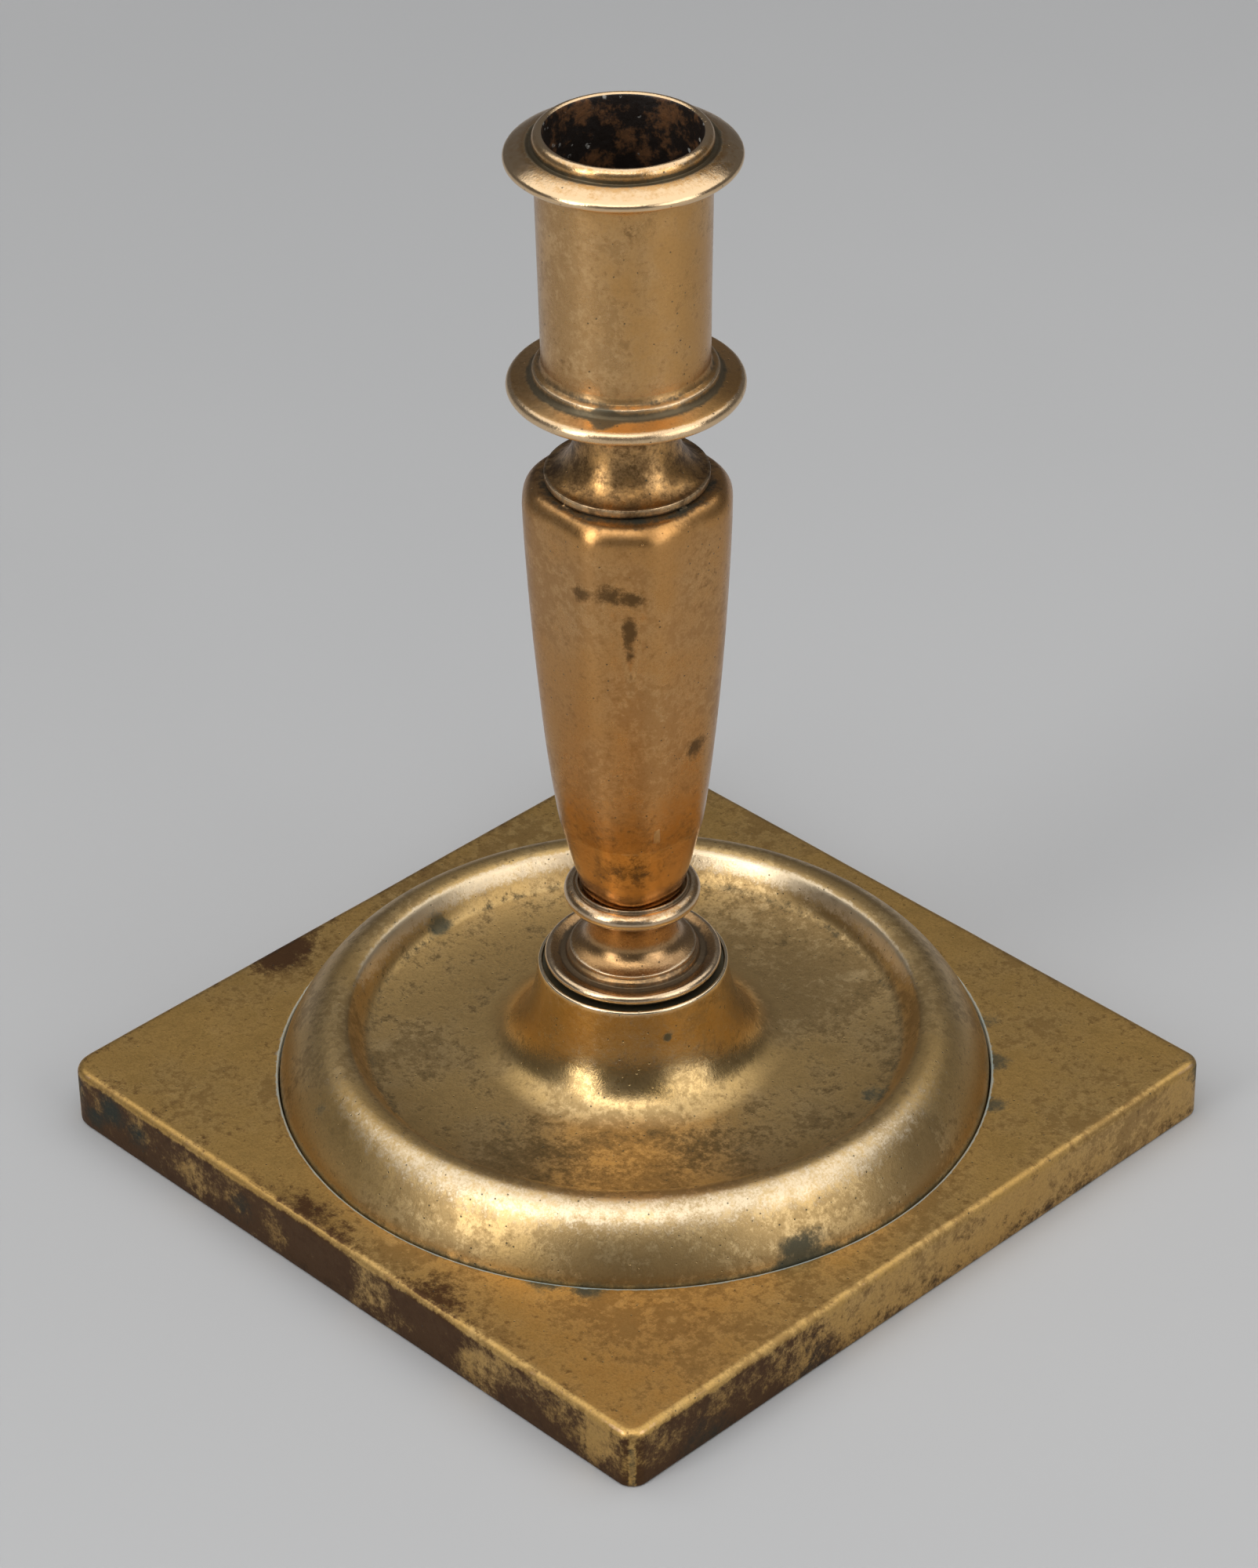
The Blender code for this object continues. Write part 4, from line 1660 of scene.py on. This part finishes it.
@dataclass(frozen=True)
class AgedBrass(Finish):
    """Old cast and turned brass: golden metal, brown and dark stains, worn edges, painted shade and
    painted highlights.

    Attributes:
        metal: colour of the clean metal.
        pale: colour of its lighter clouds.
        deep: colour of its darker clouds.
        rubbed_and_highlight: colour where the metal is worn bright, and of painted highlights.
        stain: colour of the brown tarnish, and of the painted shade on the socket's neck.
        grime: colour of the deposit in hollows, and of painted shade on hidden faces and at seams.
        residue: colour of dried polish and verdigris.
        gloss: roughness of the clean metal.
        brushing: how far reflections are drawn out along the upright lines of a turned piece.
        clouding: how strongly the dark clouds show.
        grain: how strongly the finest grain shows.
        polish: how much smoother the polished places are.
        flecks: how strongly small brown flecks show.
        pitting: share of the surface cells that hold a pit.
        turning: strength of the turning lines.
        drops: how strongly old drop marks show.
        relief: height of the fine relief, in metres.
    """

    metal: Tint
    pale: Tint
    deep: Tint
    rubbed_and_highlight: Tint = (0.84, 0.62, 0.38)
    stain: Tint = (0.15, 0.085, 0.035)
    grime: Tint = (0.03, 0.05, 0.044)
    residue: Tint = (0.42, 0.52, 0.52)
    gloss: float = 0.3
    brushing: float = 0.0
    clouding: float = 0.6
    grain: float = 0.35
    polish: float = 0.14
    flecks: float = 0.35
    pitting: float = 0.2
    turning: float = 0.3
    drops: float = 0.0
    relief: float = 0.05 * MM

    def paint(self, graph: Graph) -> None:
        """Join clean metal, weathering, painted shade, painted highlights, roughness and relief.

        Args:
            graph: the material's nodes.
        """
        texture = Texture.sow(graph, self.pitting)
        gritty = graph.weighted((texture.small, 0.55), (texture.fine, 0.45))
        # The stain mask also darkens the socket's neck as painted shade.
        stain = STAIN_AND_SHADE_EDGE.mask(graph, texture.middle, gritty)
        # The grime mask also carries painted shade on hidden faces, under the spool's flange and
        # along the seam.
        grime = graph.times(GRIME_AND_SHADE_EDGE.mask(graph, texture.middle, gritty), 0.8)
        # The wear mask also carries painted highlights on the pan's bead, far lip and boss and on the
        # spool's ring.
        wear = WEAR_AND_HIGHLIGHT_EDGE.mask(graph, texture.small, texture.fine)
        residue = RESIDUE_EDGE.mask(graph, texture.middle, texture.small)
        finest = graph.times(graph.step(texture.fine, 0.42, 0.66), self.grain)
        colour = graph.mix(finest, self.clean_metal(graph, texture), self.deep)
        colour = graph.mix(graph.times(wear, 0.8), colour, self.rubbed_and_highlight)
        colour = graph.mix(graph.times(stain, 0.94), colour, self.stain)
        colour = graph.mix(grime, colour, self.grime)
        colour = graph.mix(graph.times(texture.pits, 0.7), colour, self.grime)
        colour = graph.mix(graph.times(residue, 0.7), colour, self.residue)
        graph.give("Base Color", colour)
        dull = graph.weighted((grime, 0.2), (residue, 0.8))
        graph.give("Metallic", graph.math("SUBTRACT", 1.0, dull))
        rough = graph.weighted(
            (texture.middle, 0.24),
            (texture.small, 0.1),
            (grime, 0.22),
            (stain, 0.1),
            (wear, -0.05),
            (graph.layer(Layer.POLISH), -self.polish),
        )
        graph.give("Roughness", graph.sum(rough, self.gloss - 0.17))
        relief = graph.weighted(
            (texture.middle, 0.7),
            (texture.small, 0.5),
            (texture.fine, 0.3),
            (texture.rings, 0.2 * self.turning),
            (texture.pits, -0.8),
        )
        graph.bump(relief, self.relief)
        if self.brushing > 0.0:
            lines = graph.add("ShaderNodeTangent", direction_type="RADIAL", axis="Z")
            graph.give("Tangent", lines.outputs["Tangent"])
            graph.shader.inputs["Anisotropic"].default_value = self.brushing
            graph.shader.inputs["Anisotropic Rotation"].default_value = 0.25

    def clean_metal(self, graph: Graph, texture: Texture) -> Socket:
        """Clean metal with light and dark clouds, small flecks, rings and drop marks.

        Args:
            graph: the material's nodes.
            texture: the noise of the material.

        Returns:
            The colour.
        """
        lighter = graph.step(graph.sum(texture.broad, graph.times(texture.middle, 0.5)), 0.66, 0.9)
        colour = graph.mix(graph.times(lighter, 0.8), self.metal, self.pale)
        drift = graph.times(graph.math("SUBTRACT", texture.broad, 0.5), 0.7)
        film = graph.sum(graph.weighted((texture.middle, 0.62), (texture.small, 0.38)), drift)
        darker = graph.step(film, 0.47, 0.6)
        if self.drops > 0.0:
            darker = graph.math("SUBTRACT", darker, self.drop_marks(graph, texture.place))
        colour = graph.mix(graph.times(darker, self.clouding), colour, self.deep)
        flecks = graph.step(texture.small, 0.58, 0.68)
        colour = graph.mix(graph.times(flecks, self.flecks), colour, self.stain)
        lines = graph.step(texture.rings, 0.52, 0.68)
        return graph.mix(graph.times(lines, 0.5 * self.turning), colour, self.deep)

    def drop_marks(self, graph: Graph, place: Socket) -> Socket:
        """Cleaner round marks that old drops left in the tarnish.

        Args:
            graph: the material's nodes.
            place: coordinates, in metres.

        Returns:
            1 in a mark and 0 between marks, weakened by the finish's own strength.
        """
        bent = graph.bent(place, 210.0, 2.4 * MM)
        large, small = graph.dots(bent, 120.0, 0.24, 0.27), graph.dots(bent, 260.0, 0.2, 0.3)
        return graph.times(graph.sum(large, small), self.drops)


@dataclass(frozen=True)
class BoreSoot(Finish):
    """The inside of the candle bore: burnt brown and black with flecks of old wax.

    Attributes:
        soot: darkest colour.
        scorch: brown of the scorched metal.
        wax: colour of the wax flecks.
    """

    name: str = "bore_soot"
    soot: Tint = (0.012, 0.008, 0.006)
    scorch: Tint = (0.26, 0.12, 0.05)
    wax: Tint = (0.42, 0.4, 0.36)

    def paint(self, graph: Graph) -> None:
        """Join scorched metal, soot and wax.

        Args:
            graph: the material's nodes.
        """
        place = graph.place()
        middle = graph.clouds(place, 210.0, 6.0, 0.7)
        small = graph.clouds(place, 900.0, 4.0, 0.7)
        scorched = graph.step(middle, 0.48, 0.66)
        spots = graph.dots(graph.bent(place, 700.0, 1.1 * MM), 700.0, 0.2, 0.34)
        flecks = graph.times(spots, graph.step(small, 0.42, 0.56))
        colour = graph.mix(flecks, graph.mix(scorched, self.soot, self.scorch), self.wax)
        graph.give("Base Color", colour)
        graph.give("Roughness", graph.sum(graph.times(small, 0.4), 0.25))
        graph.give("Metallic", graph.times(scorched, 0.6))
        graph.bump(graph.sum(middle, graph.times(flecks, 0.6)), 0.25 * MM)


@dataclass(frozen=True)
class FloorPaint(Finish):
    """The matt pale grey of the floor.

    Attributes:
        grey: its colour.
        worn: colour of its faint clouds.
    """

    name: str = "floor_paint"
    grey: Tint = (0.46, 0.462, 0.463)
    worn: Tint = (0.44, 0.443, 0.445)

    def paint(self, graph: Graph) -> None:
        """Join the faint clouds of the paint.

        Args:
            graph: the material's nodes.
        """
        clouds = graph.clouds(graph.place(), 3.0, 4.0, 0.5)
        colour = graph.mix(graph.step(clouds, 0.35, 0.65), self.grey, self.worn)
        graph.give("Base Color", colour)
        graph.give("Roughness", 0.85)


# ---------------------------------------------------------------- the studio


@dataclass(frozen=True)
class SoftBox:
    """A soft rectangular light.

    Attributes:
        name: name of the light.
        azimuth: where it stands round the object, in degrees, as the camera's is counted.
        elevation: how high it stands, in degrees.
        distance: how far it is from the object, in metres.
        width: its width, in metres.
        height: its height, in metres.
        power: its power, in watts.
    """

    name: str
    azimuth: float
    elevation: float
    distance: float
    width: float
    height: float
    power: float

    def build(self, target: Vector) -> None:
        """Hang the light and turn it to a target.

        Args:
            target: the place that it lights.
        """
        light = bpy.data.lights.new(self.name, "AREA")
        light.shape = "RECTANGLE"
        light.size, light.size_y = self.width, self.height
        light.energy = self.power
        lamp = bpy.data.objects.new(self.name, light)
        back = looking_back(self.azimuth, self.elevation)
        lamp.location = target + back * self.distance
        lamp.rotation_mode = "QUATERNION"
        lamp.rotation_quaternion = (-back).to_track_quat("-Z", "Y")
        bpy.context.scene.collection.objects.link(lamp)


@dataclass(frozen=True)
class Studio:
    """A wide pale floor, a dim room and soft lights.

    Attributes:
        floor_radius: radius of the floor, in metres.
        floor_steps: points round its edge.
        room: colour of the room's even light.
        lit_level: height that the lights are turned to, in millimetres.
        lights: the lights.
    """

    floor_radius: float = 6.0
    floor_steps: int = 96
    room: Tint = (0.12, 0.12, 0.125)
    lit_level: float = 80.0
    lights: tuple[SoftBox, ...] = (
        SoftBox("top_light", 226.0, 88.0, 1.6, 4.2, 2.3, 37.0),
        SoftBox("front_light", 32.0, 56.0, 1.1, 0.9, 0.4, 2.0),
        SoftBox("left_light", -4.0, 26.0, 0.9, 0.26, 0.62, 2.7),
        SoftBox("right_light", 97.0, 24.0, 0.9, 0.6, 0.62, 2.3),
    )

    def lay_floor(self) -> None:
        """Lay a round floor under the candlestick."""
        shape = bmesh.new()
        centre = shape.verts.new((0.0, 0.0, 0.0))
        rim = []
        for index in range(self.floor_steps):
            angle = FULL_TURN * index / self.floor_steps
            spot = (self.floor_radius * math.cos(angle), self.floor_radius * math.sin(angle), 0.0)
            rim.append(shape.verts.new(spot))
        for one, other in zip(rim, rim[1:] + rim[:1]):
            shape.faces.new((centre, one, other))
        mesh = mesh_of(shape, "floor")
        place_piece("floor", mesh, FloorPaint().make())

    def light_room(self) -> None:
        """Give the room its dim, even light."""
        world = bpy.data.worlds.new("room")
        world.use_nodes = True
        background = world.node_tree.nodes["Background"]
        background.inputs["Color"].default_value = (*self.room, 1.0)
        bpy.context.scene.world = world
        bpy.context.scene.view_settings.view_transform = "Standard"

    def build(self) -> None:
        """Lay the floor, set the room's light and hang the lamps."""
        self.lay_floor()
        self.light_room()
        for light in self.lights:
            light.build(mm(0.0, 0.0, self.lit_level))
            LOG.info("%s: %.1f W", light.name, light.power)


@dataclass(frozen=True)
class ViewPoint:
    """The camera, given by where it stands round the candlestick.

    Attributes:
        azimuth: angle round the object, in degrees.
        elevation: angle above the floor, in degrees.
        roll: how far it is tipped, in degrees.
        distance: distance to the target, in metres.
        lens: focal length, in millimetres.
        frame: width of the picture frame, in millimetres.
        sight: nearest and farthest things that it sees, in metres.
        level: height of the target, in metres.
        aside: how far the target is to the right of the axis, in metres.
    """

    azimuth: float = 45.6876
    elevation: float = 34.0201
    roll: float = -0.7159
    distance: float = 0.76498
    lens: float = 117.49
    frame: float = 36.0
    sight: Pair = (0.05, 30.0)
    level: float = 61.84 * MM
    aside: float = -0.3 * MM

    def build(self) -> Object:
        """Set the camera up.

        Returns:
            The camera.
        """
        data = bpy.data.cameras.new("camera")
        data.lens = self.lens
        data.sensor_width = self.frame
        data.clip_start, data.clip_end = self.sight
        camera = bpy.data.objects.new("camera", data)
        bpy.context.scene.collection.objects.link(camera)
        back = looking_back(self.azimuth, self.elevation)
        turn = math.radians(self.azimuth)
        right = Vector((math.cos(turn), math.sin(turn), 0.0))
        up = back.cross(right)
        tip = math.radians(self.roll)
        across = right * math.cos(tip) + up * math.sin(tip)
        upward = up * math.cos(tip) - right * math.sin(tip)
        place = right * self.aside + Vector((0.0, 0.0, self.level)) + back * self.distance
        rows = [(across[i], upward[i], back[i], place[i]) for i in range(3)]
        camera.matrix_world = Matrix((*rows, (0.0, 0.0, 0.0, 1.0)))
        bpy.context.scene.camera = camera
        return camera


def looking_back(azimuth: float, elevation: float) -> Vector:
    """Direction from the object to something that stands round it.

    Args:
        azimuth: angle round the object, in degrees.
        elevation: angle above the floor, in degrees.

    Returns:
        The direction, one metre long.
    """
    turn, rise = math.radians(azimuth), math.radians(elevation)
    level = math.cos(rise)
    return Vector((math.sin(turn) * level, -math.cos(turn) * level, math.sin(rise)))


# ---------------------------------------------------------------- the marks of this candlestick


def stain(place: Vector, reach: float, amount: float, flat: float = 1.0) -> Patch:
    """A stain at a place, its reach in millimetres."""
    return Patch(Layer.STAIN, place, reach * MM, amount, flat)


def dirt(place: Vector, reach: float, amount: float) -> Patch:
    """A dark deposit at a place, its reach in millimetres."""
    return Patch(Layer.GRIME, place, reach * MM, amount)


def foot_patches() -> list[Patch]:
    """Stains on the square foot; a negative amount is a place that stayed cleaner.

    Returns:
        The patches.
    """
    side, top = SquareFoot.half, SquareFoot.height
    return [
        stain(mm(-50.0, -18.0, top), 30.0, 0.26),
        stain(mm(50.0, 18.0, top), 28.0, 0.22),
        stain(mm(-58.9, -19.4, top), 8.0, 0.6),
        stain(mm(-8.0, -58.9, top), 15.0, 0.45),
        stain(mm(20.0, -58.0, top), 12.0, 0.45),
        stain(mm(47.0, -50.0, top), 9.0, 0.4),
        dirt(mm(34.5, -43.9, top), 4.5, 0.9),
        dirt(mm(29.0, -47.6, top), 4.5, 0.8),
        dirt(mm(47.5, 31.0, top), 4.0, 0.9),
        dirt(mm(40.5, 39.5, top), 4.5, 0.95),
        dirt(mm(32.5, 46.5, top), 3.5, 0.8),
        dirt(mm(-61.5, -61.5, 6.5), 5.0, 1.0),
        dirt(mm(-52.0, -side, 6.5), 5.0, 0.8),
        dirt(mm(-45.5, -side, 5.5), 4.5, 0.7),
        dirt(mm(-56.0, -side, 3.0), 3.5, 0.7),
        dirt(mm(-22.0, -side, 5.0), 5.0, 0.5),
        stain(mm(-31.0, -side, 3.5), 7.0, -0.3),
        stain(mm(-13.0, -side, 4.0), 6.0, -0.35),
        stain(mm(8.0, -side, 2.5), 8.0, -0.25),
        stain(mm(31.0, -side, 3.0), 9.0, -0.35),
        stain(mm(54.0, -side, 5.0), 12.0, -0.36),
        dirt(mm(side, -48.0, 2.0), 9.0, 0.35),
        dirt(mm(side, -27.0, 2.0), 8.0, 0.3),
        dirt(mm(61.0, 61.0, 8.5), 4.5, 0.9),
    ]


def pan_patches() -> list[Patch]:
    """Stains on the dished pan.

    Returns:
        The patches.
    """
    return [
        dirt(mm(52.3, -14.5, 12.0), 5.5, 0.8),
        dirt(mm(50.9, -18.6, 12.2), 4.5, 0.8),
        dirt(mm(-41.9, -2.4, 16.4), 4.0, 0.9),
        dirt(mm(13.7, -6.4, 25.2), 1.5, 1.3),
        dirt(mm(2.0, -28.8, 14.5), 5.0, 0.5),
        dirt(mm(36.2, 14.5, 15.1), 4.0, 0.8),
        dirt(mm(-19.1, -47.8, 16.5), 3.0, 0.8),
        stain(mm(26.0, -10.0, 14.4), 13.0, 0.25),
        stain(mm(10.0, -30.0, 14.4), 13.0, 0.2),
    ]


def baluster_patches() -> list[Patch]:
    """Dark spots and smudges on the baluster, and the dirt that fills its flaw.

    Returns:
        The patches.
    """
    low, high = 89, 100
    filled = [
        stain(mm(10.5, -10.2, level), 0.14 * (level - low) + 1.2, 0.4)
        for level in range(low, high + 1)
    ]
    return filled + [
        stain(mm(4.6, -14.3, 103.7), 3.4, 0.68),
        stain(mm(8.9, -12.2, 104.0), 4.2, 0.95),
        stain(mm(11.4, -9.8, 103.4), 2.8, 0.9),
        stain(mm(14.8, 2.0, 104.0), 7.5, 0.42, 0.6),
        stain(mm(3.0, -14.0, 88.0), 7.0, 0.34),
        stain(mm(12.3, 1.6, 73.2), 5.0, 0.82),
        stain(mm(6.9, -7.6, 53.0), 4.4, 0.3),
    ]


def socket_patches() -> list[Patch]:
    """Dark spots on the candle socket, and a bright nick in its lip.

    Returns:
        The patches.
    """
    return [
        dirt(mm(7.9, -12.2, 132.4), 3.0, 1.6),
        Patch(Layer.WEAR, mm(12.0, -0.7, 170.4), 0.9 * MM, 1.5),
        stain(mm(0.5, -12.3, 140.0), 7.0, 0.35),
        stain(mm(2.0, -12.3, 158.0), 5.0, 0.3),
        stain(mm(9.3, -8.3, 161.5), 3.0, 0.35),
        stain(mm(12.4, 2.0, 150.0), 6.0, 0.2),
    ]


def baluster_scores() -> list[Score]:
    """The casting flaw, like a narrow V, and a small dent on the baluster.

    Returns:
        The grooves and the dent.
    """
    foot = mm(10.4, -9.9, 90.2)
    return [
        Score(mm(9.2, -12.0, 100.4), foot, 0.7 * MM, 0.26 * MM),
        Score(mm(12.0, -9.0, 100.0), foot, 0.7 * MM, 0.24 * MM),
        Score(foot, mm(10.3, -9.8, 87.5), 0.5 * MM, 0.16 * MM),
        Score(mm(7.0, -8.0, 52.4), mm(9.6, -4.8, 53.6), 0.5 * MM, 0.1 * MM),
    ]


def finishes() -> list[AgedBrass]:
    """The brass finishes, each named after the slot that it fills.

    Returns:
        The finishes, in the order of the pieces.
    """
    return [
        AgedBrass(
            "foot_brass", metal=(0.57, 0.35, 0.11), pale=(0.68, 0.46, 0.19),
            deep=(0.29, 0.165, 0.048), rubbed_and_highlight=(0.8, 0.52, 0.28), stain=(0.085, 0.04, 0.02),
            gloss=0.42, turning=0.0, drops=0.7, clouding=0.7,
        ),
        # The pan's pale wear colour also paints highlights on the bead, the far lip and the boss.
        AgedBrass(
            "pan_brass", metal=(0.55, 0.365, 0.145), pale=(0.68, 0.5, 0.26),
            deep=(0.3, 0.19, 0.07), rubbed_and_highlight=(0.86, 0.71, 0.49), stain=(0.13, 0.092, 0.042),
            gloss=0.4, turning=0.15, clouding=0.72, drops=0.6, polish=0.15, pitting=0.34,
        ),
        # The spool's wear colour also paints the highlight round its ring.
        AgedBrass(
            "spool_brass", metal=(0.46, 0.27, 0.115), pale=(0.6, 0.4, 0.22),
            deep=(0.26, 0.14, 0.055), rubbed_and_highlight=(0.72, 0.55, 0.36), grime=(0.05, 0.045, 0.032),
            gloss=0.32, turning=0.7,
        ),
        AgedBrass(
            "baluster_brass", metal=(0.55, 0.285, 0.095), pale=(0.66, 0.42, 0.2),
            deep=(0.4, 0.19, 0.055), gloss=0.3, brushing=0.75, turning=0.0, flecks=0.2,
        ),
        AgedBrass(
            "plug_brass", metal=(0.5, 0.26, 0.085), pale=(0.6, 0.38, 0.18),
            deep=(0.38, 0.18, 0.05), gloss=0.33, brushing=0.75, turning=0.0,
        ),
        AgedBrass(
            "socket_brass", metal=(0.6, 0.335, 0.118), pale=(0.76, 0.52, 0.27),
            deep=(0.44, 0.235, 0.08), gloss=0.31, brushing=0.75, turning=0.35, flecks=0.2,
        ),
        AgedBrass(
            "washer_brass", metal=(0.45, 0.3, 0.14), pale=(0.55, 0.4, 0.2),
            deep=(0.28, 0.17, 0.08), gloss=0.46, turning=0.4,
        ),
        AgedBrass(
            "nut_brass", metal=(0.42, 0.28, 0.12), pale=(0.52, 0.36, 0.18),
            deep=(0.25, 0.15, 0.07), gloss=0.48, turning=0.0,
        ),
    ]


def build_candlestick(frame: dict[str, object]) -> None:
    """Build every piece over its CAD node.

    Args:
        frame: what the frame holds: its nodes.
    """
    brass = {finish.name: finish.make() for finish in finishes()}
    hidden = HandWork(waves=0.02 * MM)
    pieces = (
        SquareFoot(work=HandWork(wave_length=16.0 * MM, seed=3.0), patches=foot_patches()),
        DishedPan(
            work=HandWork(waves=0.06 * MM, wave_length=15.0 * MM, seed=7.0),
            patches=pan_patches(),
        ),
        StemSpool(work=HandWork(waves=0.03 * MM, seed=11.0)),
        FacetedBaluster(
            work=HandWork(waves=0.06 * MM, seed=17.0, scores=baluster_scores()),
            patches=baluster_patches(),
        ),
        CorePlug(cad=frame["nodes"]["core_plug"]),
        CandleSocket(work=HandWork(seed=23.0), patches=socket_patches(), soot=BoreSoot().make()),
        ClampWasher(work=hidden),
        ClampNut(work=hidden),
    )
    for piece in pieces:
        piece.build(brass[piece.slot])


def main() -> None:
    """Load the frame, build the candlestick, the studio and the camera, and log the pieces' faces and
    the lights' power.
    """
    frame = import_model()
    build_candlestick(frame)
    Studio().build()
    ViewPoint().build()


if __name__ == "__main__":
    logging.basicConfig(level=logging.INFO, format="%(message)s")
    main()
